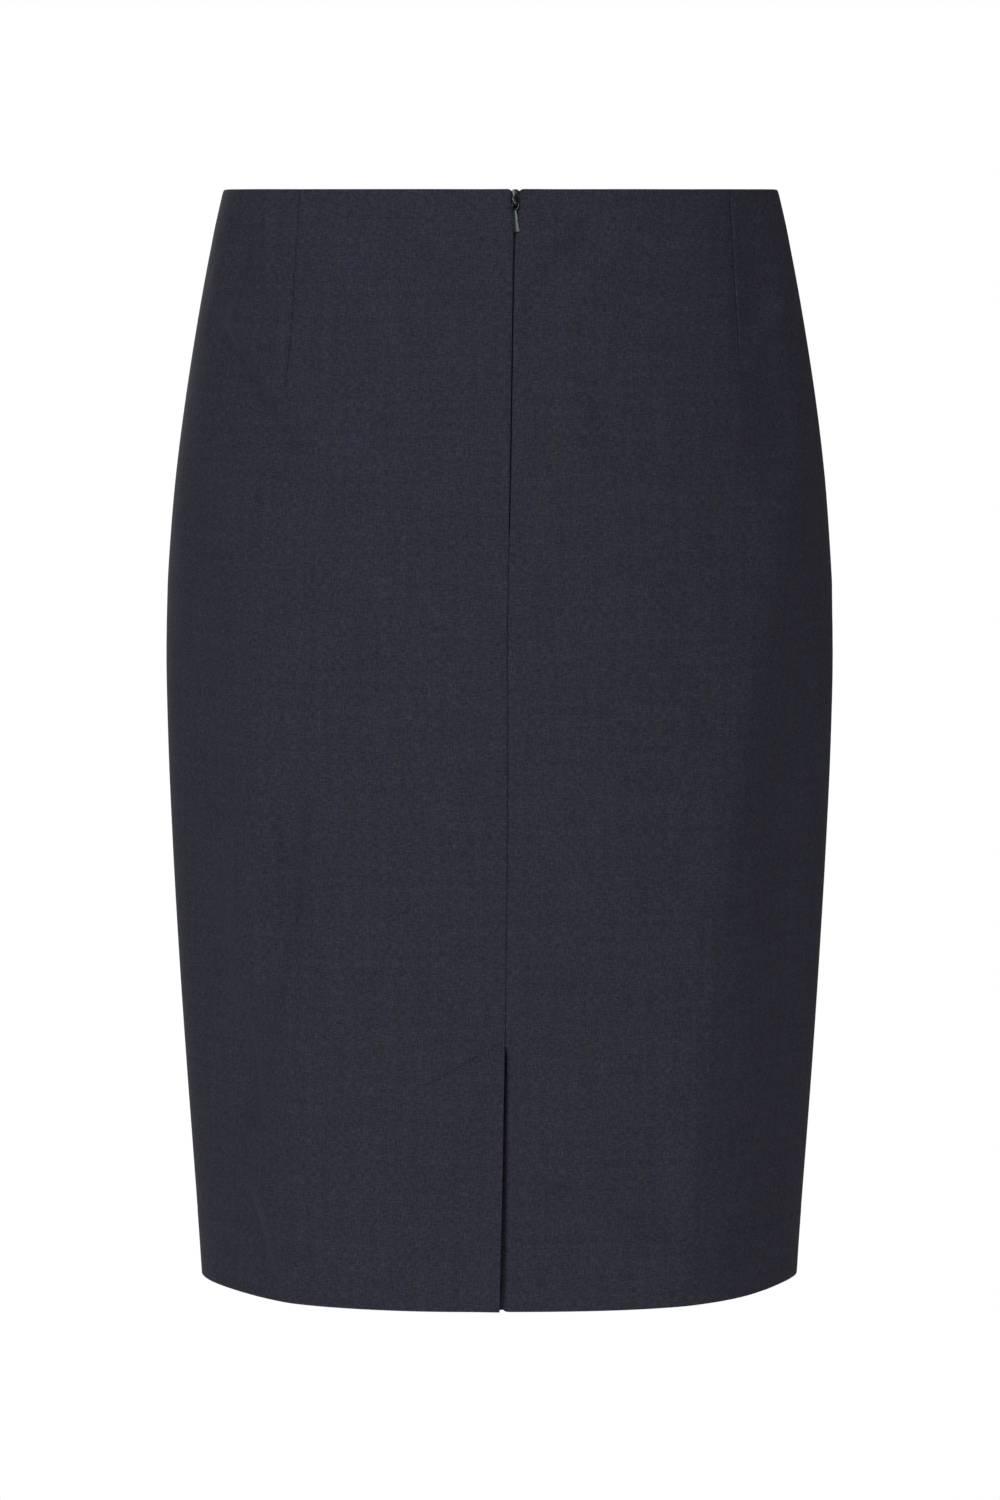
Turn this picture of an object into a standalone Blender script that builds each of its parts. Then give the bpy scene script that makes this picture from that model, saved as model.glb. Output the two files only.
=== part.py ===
"""Pencil skirt, filled out as when worn: three cloth panels, a concealed zip and a vent at the back.

Metres, +Z up. The origin is the centre of the waist opening, level with the waist edge. The back
of the skirt faces -Y and the front +Y, so +X is the wearer's right. A drop is a distance below
the waist edge. Each panel is a wall worked out from the sections of the skirt's form.
"""

import math
from typing import NamedTuple

import bmesh
import bpy
from mathutils import Matrix, Vector

# Cloth
LENGTH = 0.600
WALL = 0.0012
SEAM_GAP = 0.0003

# Waist edge, which sinks a little where the side seams pinch it and beside the zip
SIDE_DIP = 0.0020
SIDE_DIP_REACH = 0.005
ZIP_CORNER_DIP = 0.0010
ZIP_CORNER_REACH = 0.0020
DIP_FADE = 0.020

# Vent: the left back lies over the underlap, which is cut in one with the right back
VENT_DROP = 0.462
VENT_STEP = 0.0015
VENT_CLEARANCE = 0.0005
UNDERLAP_WIDTH = 0.041
UNDERLAP_SLOPE = 0.022
UNDERLAP_COLUMNS = 5

# Concealed zip
TAPE_WIDTH = 0.012
TAPE_THICKNESS = 0.0010
TAPE_END_DROP = 0.196
TAPE_TOP_DROP = 0.003
TAPE_EDGE_GAP = 0.0004
CHAIN_WIDTH = 0.0036
CHAIN_THICKNESS = 0.0014
CHAIN_TOP_DROP = 0.0106
CHAIN_END_DROP = 0.190
PIVOT_DROP = 0.0079
PIVOT_STANDS_OFF = 0.0013
SLIDER_WIDTH = 0.0066
SLIDER_HEIGHT = 0.0086
SLIDER_DEPTH = 0.0032
BRIDGE_WIDTH = 0.0015
BRIDGE_WINDOW_RADIUS = 0.0008
PULL_THICKNESS = 0.0010
PULL_LEAN = math.radians(4.0)
PULL_BAR_RADIUS = 0.00045

# Mesh
PANEL_COLUMNS = 12
ARC_SAMPLES = 160


class Section(NamedTuple):
    """The skirt's outline at one drop: |x / half_width|^side_power + |y / depth|^depth_power = 1."""

    drop: float
    half_width: float
    back_depth: float
    front_depth: float
    side_power: float
    depth_power: float


SECTIONS = (
    Section(0.000, 0.1515, 0.0985, 0.1000, 2.10, 2.00),
    Section(0.020, 0.1559, 0.1020, 0.1030, 2.10, 2.00),
    Section(0.050, 0.1619, 0.1078, 0.1070, 2.10, 2.00),
    Section(0.085, 0.1680, 0.1142, 0.1105, 2.10, 2.00),
    Section(0.120, 0.1733, 0.1196, 0.1128, 2.10, 2.00),
    Section(0.160, 0.1784, 0.1236, 0.1142, 2.12, 1.98),
    Section(0.200, 0.1820, 0.1254, 0.1148, 2.16, 1.95),
    Section(0.250, 0.1839, 0.1252, 0.1146, 2.25, 1.90),
    Section(0.300, 0.1832, 0.1240, 0.1140, 2.36, 1.85),
    Section(0.360, 0.1809, 0.1222, 0.1134, 2.48, 1.80),
    Section(0.420, 0.1778, 0.1203, 0.1128, 2.60, 1.75),
    Section(0.480, 0.1742, 0.1186, 0.1123, 2.70, 1.71),
    Section(0.540, 0.1702, 0.1171, 0.1120, 2.76, 1.69),
    Section(0.600, 0.1660, 0.1158, 0.1118, 2.79, 1.68),
)


class SeamPlace(NamedTuple):
    """How far the centre back seam stands from the middle of the skirt at one drop."""

    drop: float
    x: float


CENTRE_BACK = (
    SeamPlace(0.000, 0.0083),
    SeamPlace(0.060, 0.0070),
    SeamPlace(0.150, 0.0056),
    SeamPlace(0.220, 0.0042),
    SeamPlace(0.320, 0.0041),
    SeamPlace(0.450, 0.0029),
    SeamPlace(0.540, 0.0018),
    SeamPlace(0.600, 0.0007),
)


class Opening(NamedTuple):
    """The gap between the two back panels at one drop: the zip above, the seam, the vent below."""

    drop: float
    gap: float


OPENINGS = (
    Opening(0.000, 0.0064),
    Opening(0.004, 0.0040),
    Opening(0.010, 0.0026),
    Opening(0.025, 0.0008),
    Opening(0.182, 0.0006),
    Opening(0.190, SEAM_GAP),
    Opening(0.455, SEAM_GAP),
    Opening(VENT_DROP, 0.0020),
    Opening(0.600, 0.0030),
)

UPPER_ROWS = (
    0.0, 0.004, 0.010, 0.025, 0.050, 0.080, 0.112, 0.147, 0.182, 0.190,
    0.225, 0.265, 0.310, 0.360, 0.410, 0.455,
)
VENT_ROWS = (VENT_DROP, 0.490, 0.518, 0.546, 0.574, LENGTH)
TAPE_ROWS = (TAPE_TOP_DROP, 0.010, 0.025, 0.050, 0.080, 0.112, 0.147, 0.182, TAPE_END_DROP)
CHAIN_ROWS = (CHAIN_TOP_DROP, 0.025, 0.050, 0.080, 0.112, 0.147, CHAIN_END_DROP)


def clear_scene():
    """Removes whatever the scene holds."""
    for obj in list(bpy.data.objects):
        bpy.data.objects.remove(obj, do_unlink=True)


def make_material(name, colour, roughness, metallic):
    material = bpy.data.materials.new(name)
    material.use_nodes = True
    shader = material.node_tree.nodes["Principled BSDF"]
    shader.inputs["Base Color"].default_value = (*colour, 1.0)
    shader.inputs["Roughness"].default_value = roughness
    shader.inputs["Metallic"].default_value = metallic
    return material


def read_straight(rows, drop):
    """The values of a table at one drop, on straight lines between its rows."""
    if drop <= rows[0].drop:
        return rows[0]
    for low, high in zip(rows, rows[1:]):
        if drop <= high.drop:
            share = (drop - low.drop) / (high.drop - low.drop)
            return type(low)(*(a + (b - a) * share for a, b in zip(low, high)))
    return rows[-1]


def read_smooth(rows, drop):
    """The values of a table at one drop, on a smooth curve through its rows."""
    last = len(rows) - 1
    index = max(i for i in range(last) if rows[i].drop <= drop or i == 0)
    before, low, high, after = (rows[min(max(index + k, 0), last)] for k in (-1, 0, 1, 2))
    span = high.drop - low.drop
    t = (drop - low.drop) / span
    values = []
    for v0, v1, v2, v3 in zip(before, low, high, after):
        slope_low = (v2 - v0) / (high.drop - before.drop) * span
        slope_high = (v3 - v1) / (after.drop - low.drop) * span
        values.append(
            v1 * (2 * t**3 - 3 * t**2 + 1)
            + v2 * (3 * t**2 - 2 * t**3)
            + slope_low * (t**3 - 2 * t**2 + t)
            + slope_high * (t**3 - t**2)
        )
    return type(low)(*values)


def section_at(drop):
    return read_smooth(SECTIONS, drop)


def seam_x(drop):
    return read_smooth(CENTRE_BACK, drop).x


def gap_at(drop):
    return read_straight(OPENINGS, drop).gap


def form_point(section, angle):
    """The point of a section at one angle: 0 at the right side seam, -pi/2 at the centre back."""
    cosine = math.cos(angle)
    sine = math.sin(angle)
    depth = section.back_depth if sine < 0 else section.front_depth
    x = math.copysign(abs(cosine) ** (2 / section.side_power), cosine) * section.half_width
    y = math.copysign(abs(sine) ** (2 / section.depth_power), sine) * depth
    return Vector((x, y, -section.drop))


def back_angle(section, x):
    """The angle at which the back of a section stands over x."""
    share = abs(x / section.half_width) ** (section.side_power / 2)
    return -math.acos(math.copysign(share, x))


def side_angle(section, depth):
    """How far a seam edge stands from the side in angle, when it is half a seam gap from it."""
    return math.asin((SEAM_GAP / 2 / depth) ** (section.depth_power / 2))


def plan_normal(section, point):
    """The level direction straight out of the form at a point of a section."""
    across = abs(point.x / section.half_width) ** (section.side_power - 1)
    depth = section.back_depth if point.y < 0 else section.front_depth
    along = abs(point.y / depth) ** (section.depth_power - 1)
    x = math.copysign(across * section.side_power / section.half_width, point.x)
    y = math.copysign(along * section.depth_power / depth, point.y)
    return Vector((x, y, 0)).normalized()


def arc(section, start, end, shares):
    """Points of a section between two angles, at the given shares of the length between them."""
    steps = [start + (end - start) * i / ARC_SAMPLES for i in range(ARC_SAMPLES + 1)]
    points = [form_point(section, angle) for angle in steps]
    lengths = [0.0]
    for a, b in zip(points, points[1:]):
        lengths.append(lengths[-1] + (b - a).length)
    found = []
    index = 0
    for share in shares:
        wanted = share * lengths[-1]
        while index < ARC_SAMPLES - 1 and lengths[index + 1] < wanted:
            index += 1
        part = (wanted - lengths[index]) / (lengths[index + 1] - lengths[index])
        found.append(points[index].lerp(points[index + 1], part))
    return found


def waist_dip(point, edge_distance):
    """How far the waist edge sinks below its level at a point of it."""
    at_side = SIDE_DIP / (1 + (point.y / SIDE_DIP_REACH) ** 2)
    at_zip = ZIP_CORNER_DIP * max(0.0, 1 - edge_distance / ZIP_CORNER_REACH)
    return at_side + at_zip


def cloth_row(section, points, thickness, zip_end=None):
    """Pairs of an outer and an inner point, sunk where the side seams and the zip lower the edge."""
    fade = max(0.0, 1 - section.drop / DIP_FADE)
    pairs = []
    for point in points:
        distance = (point - zip_end).length if zip_end else math.inf
        lowered = point - Vector((0, 0, fade * waist_dip(point, distance)))
        pairs.append((lowered, lowered - plan_normal(section, point) * thickness))
    return pairs


def behind_the_back(drop, x, inset, thickness):
    """An outer and an inner point over x, behind the back's surface by inset."""
    section = section_at(drop)
    point = form_point(section, back_angle(section, x))
    normal = plan_normal(section, point)
    return point - normal * inset, point - normal * (inset + thickness)


def add_wall(name, rows, material):
    """A closed wall from rows of pairs of an outer and an inner point. A row may lack pairs at its
    start, which are None. Rows run down, and pairs run anticlockwise seen from above."""
    work = bmesh.new()
    outer, inner = (
        [[work.verts.new(pair[side]) if pair else None for pair in row] for row in rows]
        for side in (0, 1)
    )
    partner = {}
    for outer_row, inner_row in zip(outer, inner):
        partner.update(zip(outer_row, inner_row))
    for upper, lower in zip(outer, outer[1:]):
        for i in range(len(upper) - 1):
            corners = (upper[i], lower[i], lower[i + 1], upper[i + 1])
            if None not in corners:
                work.faces.new(corners)
    skin = list(work.faces)
    rim = [loop for face in skin for loop in face.loops if loop.edge.is_boundary]
    ends = [(loop.vert, loop.link_loop_next.vert) for loop in rim]
    for face in skin:
        work.faces.new([partner[vert] for vert in reversed(face.verts)])
    for start, end in ends:
        work.faces.new((end, start, partner[start], partner[end]))
    mesh = bpy.data.meshes.new(name)
    work.to_mesh(mesh)
    work.free()
    mesh.materials.append(material)
    mesh.shade_smooth()
    mesh.set_sharp_from_angle(angle=math.radians(40))
    obj = bpy.data.objects.new(name, mesh)
    bpy.context.scene.collection.objects.link(obj)
    return obj


def column_shares(count, close_end):
    """Even shares from 0 to 1, with two more near the end that lies beside the zip and vent."""
    shares = [i / count for i in range(count + 1)]
    close = [0.012, 0.035]
    if close_end == "start":
        return shares[:1] + close + shares[1:]
    if close_end == "end":
        return shares[:-1] + [1 - share for share in reversed(close)] + shares[-1:]
    return shares


def build_front(material):
    """The front, in one piece from side seam to side seam."""
    rows = []
    for drop in UPPER_ROWS + VENT_ROWS:
        section = section_at(drop)
        edge = side_angle(section, section.front_depth)
        shares = column_shares(2 * PANEL_COLUMNS, None)
        rows.append(cloth_row(section, arc(section, edge, math.pi - edge, shares), WALL))
    return add_wall("front_panel", rows, material)


def build_back_left(material):
    """The wearer's left back. Its edge is free at the zip and at the vent, where it lies on top."""
    rows = []
    for drop in UPPER_ROWS + VENT_ROWS:
        section = section_at(drop)
        edge = side_angle(section, section.back_depth)
        centre = back_angle(section, seam_x(drop) - gap_at(drop) / 2)
        shares = column_shares(PANEL_COLUMNS, "end")
        points = arc(section, edge - math.pi, centre, shares)
        rows.append(cloth_row(section, points, WALL, points[-1]))
    return add_wall("back_left_panel", rows, material)


def underlap_row(index):
    """One row of the underlap, from its free edge to the right back's fold. Its top edge slopes."""
    centre_drop = VENT_ROWS[index]
    down_share = index / (len(VENT_ROWS) - 1)
    fold_x = seam_x(centre_drop) + gap_at(centre_drop) / 2
    pairs = []
    for column in range(UNDERLAP_COLUMNS, -1, -1):
        out = VENT_STEP + (UNDERLAP_WIDTH - VENT_STEP) * column / UNDERLAP_COLUMNS
        top = VENT_DROP + UNDERLAP_SLOPE * out / UNDERLAP_WIDTH
        drop = top + (LENGTH - top) * down_share
        pairs.append(behind_the_back(drop, fold_x - out, WALL + VENT_CLEARANCE, WALL))
    return pairs


def build_back_right(material):
    """The wearer's right back, with the vent's underlap running on from its edge."""
    rows = []
    for drop in UPPER_ROWS + VENT_ROWS:
        section = section_at(drop)
        edge = side_angle(section, section.back_depth)
        centre = back_angle(section, seam_x(drop) + gap_at(drop) / 2)
        shares = column_shares(PANEL_COLUMNS, "start")
        points = arc(section, centre, -edge, shares)
        pairs = cloth_row(section, points, WALL, points[0])
        if drop in VENT_ROWS:
            rows.append(underlap_row(VENT_ROWS.index(drop)) + pairs)
        else:
            rows.append([None] * (UNDERLAP_COLUMNS + 1) + pairs)
    return add_wall("back_right_panel", rows, material)


def build_tape(name, side, material):
    """One zip tape behind its panel; side is -1 for the left and 1 for the right."""
    rows = []
    for drop in TAPE_ROWS:
        inner = gap_at(drop) / 2 + TAPE_EDGE_GAP
        places = [seam_x(drop) + side * (inner + TAPE_WIDTH * share) for share in (0.0, 0.5, 1.0)]
        inset = WALL + SEAM_GAP
        rows.append([behind_the_back(drop, x, inset, TAPE_THICKNESS) for x in sorted(places)])
    return add_wall(name, rows, material)


def build_chain(material):
    """The closed coils, as one strip behind the tapes from under the slider to the zip's foot."""
    inset = WALL + SEAM_GAP + TAPE_THICKNESS + SEAM_GAP
    rows = []
    for drop in CHAIN_ROWS:
        places = [seam_x(drop) + CHAIN_WIDTH * share for share in (-0.5, 0.0, 0.5)]
        rows.append([behind_the_back(drop, x, inset, CHAIN_THICKNESS) for x in places])
    return add_wall("zip_chain", rows, material)


def zip_frame():
    """The place of the pull's hinge: x runs along its bar, -y out from the cloth and z up it."""
    x = seam_x(PIVOT_DROP)
    above, on_cloth, below = (
        behind_the_back(PIVOT_DROP + step, x, 0.0, WALL)[0] for step in (-0.002, 0.0, 0.002)
    )
    beside, _ = behind_the_back(PIVOT_DROP, x + 0.002, 0.0, WALL)
    up = (above - below).normalized()
    inward = up.cross(beside - on_cloth).normalized()
    along = inward.cross(up)
    point = on_cloth - inward * PIVOT_STANDS_OFF
    turn = Matrix((along, inward, up)).transposed()
    return Matrix.Translation(point) @ turn.to_4x4()


def add_mesh_object(name, work, material):
    mesh = bpy.data.meshes.new(name)
    bmesh.ops.recalc_face_normals(work, faces=work.faces)
    work.to_mesh(mesh)
    work.free()
    mesh.materials.append(material)
    mesh.shade_smooth()
    mesh.set_sharp_from_angle(angle=math.radians(35))
    obj = bpy.data.objects.new(name, mesh)
    bpy.context.scene.collection.objects.link(obj)
    return obj


def extruded(outline, low, high, place):
    """A prism over an outline; place turns (u, v, w) into a point, with w from low to high."""
    work = bmesh.new()
    base = work.faces.new([work.verts.new(place(u, v, low)) for u, v in outline])
    grown = bmesh.ops.extrude_face_region(work, geom=[base])
    lift = Vector(place(0, 0, high)) - Vector(place(0, 0, low))
    moved = [item for item in grown["geom"] if isinstance(item, bmesh.types.BMVert)]
    bmesh.ops.translate(work, vec=lift, verts=moved)
    return work


def add_boolean(obj, other, operation):
    cut = obj.modifiers.new(operation.lower(), "BOOLEAN")
    cut.operation = operation
    cut.object = other
    other.hide_render = True
    other.display_type = "WIRE"


def build_slider(frame, material):
    """The slider: a body behind the tapes, and a bridge that comes out between the panels."""
    body_front = PIVOT_STANDS_OFF + WALL + SEAM_GAP + TAPE_THICKNESS + SEAM_GAP
    body_foot = -0.0020
    half = SLIDER_WIDTH / 2
    taper = 0.0008
    outline = [
        (-half + taper, body_foot),
        (half - taper, body_foot),
        (half, body_foot + 0.0030),
        (half, body_foot + SLIDER_HEIGHT - 0.0015),
        (half - 0.0015, body_foot + SLIDER_HEIGHT),
        (-half + 0.0015, body_foot + SLIDER_HEIGHT),
        (-half, body_foot + SLIDER_HEIGHT - 0.0015),
        (-half, body_foot + 0.0030),
    ]
    back = body_front + SLIDER_DEPTH
    body_mesh = extruded(outline, body_front, back, lambda u, v, w: (u, w, v))
    body = add_mesh_object("zip_slider", body_mesh, material)
    soften = body.modifiers.new("soften", "BEVEL")
    soften.width = 0.0004
    soften.segments = 1

    neck = body_front + 0.0006
    bridge_outline = [
        (neck, 0.0064),
        (0.0012, 0.0072),
        (0.0008, 0.0046),
        (-0.00035, 0.0019),
        (-0.00110, 0.0013),
        (-0.00150, 0.0006),
        (-0.00155, -0.0003),
        (-0.00125, -0.0011),
        (-0.00065, -0.0017),
        (0.0010, -0.0019),
        (neck, -0.0015),
    ]
    reach = BRIDGE_WIDTH / 2
    bridge_mesh = extruded(bridge_outline, -reach, reach, lambda u, v, w: (w, u, v))
    bridge = add_mesh_object("bridge_shape", bridge_mesh, material)

    window_work = bmesh.new()
    bmesh.ops.create_cone(
        window_work,
        cap_ends=True,
        segments=12,
        radius1=BRIDGE_WINDOW_RADIUS,
        radius2=BRIDGE_WINDOW_RADIUS,
        depth=4 * BRIDGE_WIDTH,
        matrix=Matrix.Rotation(math.pi / 2, 4, "Y"),
    )
    window = add_mesh_object("bridge_window", window_work, material)
    add_boolean(body, bridge, "UNION")
    add_boolean(body, window, "DIFFERENCE")
    for obj in (body, bridge, window):
        obj.matrix_world = frame
    return body


def build_pull(pivot, material):
    """The pull tab: a bar through the bridge, two arms beside it and a tab that widens downwards."""
    half_thick = PULL_THICKNESS / 2
    outline = [
        (0.0019, 0.0003),
        (0.0019, -0.0020),
        (0.0011, -0.0033),
        (0.0017, -0.0138),
        (0.0014, -0.0148),
        (0.0006, -0.0153),
    ]
    left_side = [(-x, z) for x, z in reversed(outline)]
    top = [(-0.0016, 0.00045), (0.0016, 0.00045)]
    pull_mesh = extruded(
        outline + left_side + top, -half_thick, half_thick, lambda u, v, w: (u, w, v)
    )
    pull = add_mesh_object("zip_pull", pull_mesh, material)
    soften = pull.modifiers.new("soften", "BEVEL")
    soften.width = 0.00018
    soften.segments = 1
    soften.limit_method = "ANGLE"

    eye_half = 0.00120
    eye_outline = [
        (-eye_half, -PULL_BAR_RADIUS),
        (-eye_half, -0.00185),
        (-eye_half * 0.6, -0.00235),
        (eye_half * 0.6, -0.00235),
        (eye_half, -0.00185),
        (eye_half, -PULL_BAR_RADIUS),
    ]
    eye_mesh = extruded(
        eye_outline, -3 * half_thick, 3 * half_thick, lambda u, v, w: (u, w, v)
    )
    eye = add_mesh_object("pull_eye", eye_mesh, material)
    add_boolean(pull, eye, "DIFFERENCE")
    for obj in (pull, eye):
        obj.parent = pivot
    return pull


def main():
    clear_scene()
    cloth = make_material("wool_suiting", (0.028, 0.028, 0.038), 0.9, 0.0)
    tape = make_material("zip_tape", (0.016, 0.017, 0.024), 0.85, 0.0)
    metal = make_material("painted_metal", (0.020, 0.024, 0.030), 0.35, 0.6)
    build_front(cloth)
    build_back_left(cloth)
    build_back_right(cloth)
    build_tape("zip_tape_left", -1, tape)
    build_tape("zip_tape_right", 1, tape)
    build_chain(tape)

    frame = zip_frame()
    build_slider(frame, metal)
    pivot = bpy.data.objects.new("pull_pivot", None)
    bpy.context.scene.collection.objects.link(pivot)
    pivot.matrix_world = frame @ Matrix.Rotation(-PULL_LEAN, 4, "Y")
    build_pull(pivot, metal)


main()
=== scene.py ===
"""Pencil skirt in navy worsted suiting, filled out as when worn, seen from behind.

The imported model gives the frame: its origin is the centre of the waist opening, +Z is up, the
back of the skirt faces -Y and +X is the wearer's right. A drop is a distance below the waist
edge. Each cloth panel is a thin shell worked out from the sections of the skirt's form, with its
turnings, seams, darts and soft folds. Lengths are in metres.
"""

from __future__ import annotations

import logging
import math
from dataclasses import dataclass, field, fields, replace
from enum import Enum
from typing import Any, Sequence

import bmesh
import bpy
import numpy as np
from mathutils import Matrix, Vector
from mathutils.bvhtree import BVHTree

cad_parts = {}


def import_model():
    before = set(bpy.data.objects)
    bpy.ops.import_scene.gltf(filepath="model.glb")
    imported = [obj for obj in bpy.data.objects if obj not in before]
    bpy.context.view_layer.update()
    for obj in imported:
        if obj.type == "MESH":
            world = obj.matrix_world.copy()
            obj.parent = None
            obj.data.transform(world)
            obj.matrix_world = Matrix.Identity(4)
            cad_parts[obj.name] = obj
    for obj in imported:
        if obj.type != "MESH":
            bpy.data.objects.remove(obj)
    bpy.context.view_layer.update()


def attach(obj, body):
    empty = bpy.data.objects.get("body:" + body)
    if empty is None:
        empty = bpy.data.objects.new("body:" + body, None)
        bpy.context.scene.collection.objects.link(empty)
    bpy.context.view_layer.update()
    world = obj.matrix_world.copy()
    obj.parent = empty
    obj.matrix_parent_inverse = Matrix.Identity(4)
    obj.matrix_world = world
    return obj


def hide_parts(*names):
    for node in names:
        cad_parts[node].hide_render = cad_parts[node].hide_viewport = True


LOG = logging.getLogger("pencil_skirt")
MM = 0.001
GRAIN_MAP = "grain"
BAKE_MAP = "OFBake"
# The share of the baking map that stays free round each surface.
MAP_MARGIN = 0.01
# Edges that bend more than this stay sharp, on cloth and thread and on the zip's plates.
SHARP_CLOTH = math.radians(60)
SHARP_PLATE = math.radians(40)
WHITE = (1.0, 1.0, 1.0, 1.0)
# How far below the waist edge the studio's lights are aimed.
AIM_DROP = 0.3


# ---------------------------------------------------------------------------------------------
# Form of the skirt
# ---------------------------------------------------------------------------------------------


class Face(Enum):
    """The two sides of the skirt, with the sign of their y."""

    BACK = -1
    FRONT = 1


@dataclass(frozen=True)
class Section:
    """The outline at one drop: |x / half_width|^side_power + |y / depth|^depth_power = 1."""

    drop: float
    half_width: float
    back_depth: float
    front_depth: float
    side_power: float
    depth_power: float

    def depth(self, face: Face) -> float:
        """The depth of one face."""
        return self.back_depth if face is Face.BACK else self.front_depth


SECTIONS = (
    Section(0.000, 0.1515, 0.0985, 0.1000, 2.10, 2.00),
    Section(0.020, 0.1559, 0.1020, 0.1030, 2.10, 2.00),
    Section(0.050, 0.1619, 0.1078, 0.1070, 2.10, 2.00),
    Section(0.085, 0.1680, 0.1142, 0.1105, 2.10, 2.00),
    Section(0.120, 0.1733, 0.1196, 0.1128, 2.10, 2.00),
    Section(0.160, 0.1784, 0.1236, 0.1142, 2.12, 1.98),
    Section(0.200, 0.1820, 0.1254, 0.1148, 2.16, 1.95),
    Section(0.250, 0.1839, 0.1252, 0.1146, 2.25, 1.90),
    Section(0.300, 0.1832, 0.1240, 0.1140, 2.36, 1.85),
    Section(0.360, 0.1809, 0.1222, 0.1134, 2.48, 1.80),
    Section(0.420, 0.1778, 0.1203, 0.1128, 2.60, 1.75),
    Section(0.480, 0.1742, 0.1186, 0.1123, 2.70, 1.71),
    Section(0.540, 0.1702, 0.1171, 0.1120, 2.76, 1.69),
    Section(0.600, 0.1660, 0.1158, 0.1118, 2.79, 1.68),
)

# How far the centre back seam stands from the middle of the skirt: (drop, x).
CENTRE_BACK = (
    (0.000, 0.0083),
    (0.060, 0.0070),
    (0.150, 0.0056),
    (0.220, 0.0042),
    (0.320, 0.0041),
    (0.450, 0.0029),
    (0.540, 0.0018),
    (0.600, 0.0007),
)

# The gap between the two back panels: the zip above, the sewn seam, then the vent: (drop, gap).
OPENINGS = (
    (0.0000, 0.00440),
    (0.0020, 0.00460),
    (0.0045, 0.00500),
    (0.0065, 0.00450),
    (0.0100, 0.00310),
    (0.0150, 0.00200),
    (0.0250, 0.00110),
    (0.0600, 0.00070),
    (0.1780, 0.00056),
    (0.1840, 0.00000),
    (0.4540, 0.00000),
    (0.4570, 0.00060),
    (0.4900, 0.00100),
    (0.6000, 0.00190),
)


def smooth_curve(places: np.ndarray, values: np.ndarray, at: np.ndarray) -> np.ndarray:
    """Reads a table on the smooth curve through its rows.

    Args:
        places: The rows' places, rising.
        values: The rows' values.
        at: Where to read it.

    Returns:
        The values there.
    """
    slopes = np.gradient(values, places)
    index = np.clip(np.searchsorted(places, at, side="right") - 1, 0, len(places) - 2)
    span = places[index + 1] - places[index]
    t = np.clip((at - places[index]) / span, 0.0, 1.0)
    return (
        values[index] * (2 * t**3 - 3 * t**2 + 1)
        + values[index + 1] * (3 * t**2 - 2 * t**3)
        + slopes[index] * span * (t**3 - 2 * t**2 + t)
        + slopes[index + 1] * span * (t**3 - t**2)
    )


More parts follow.
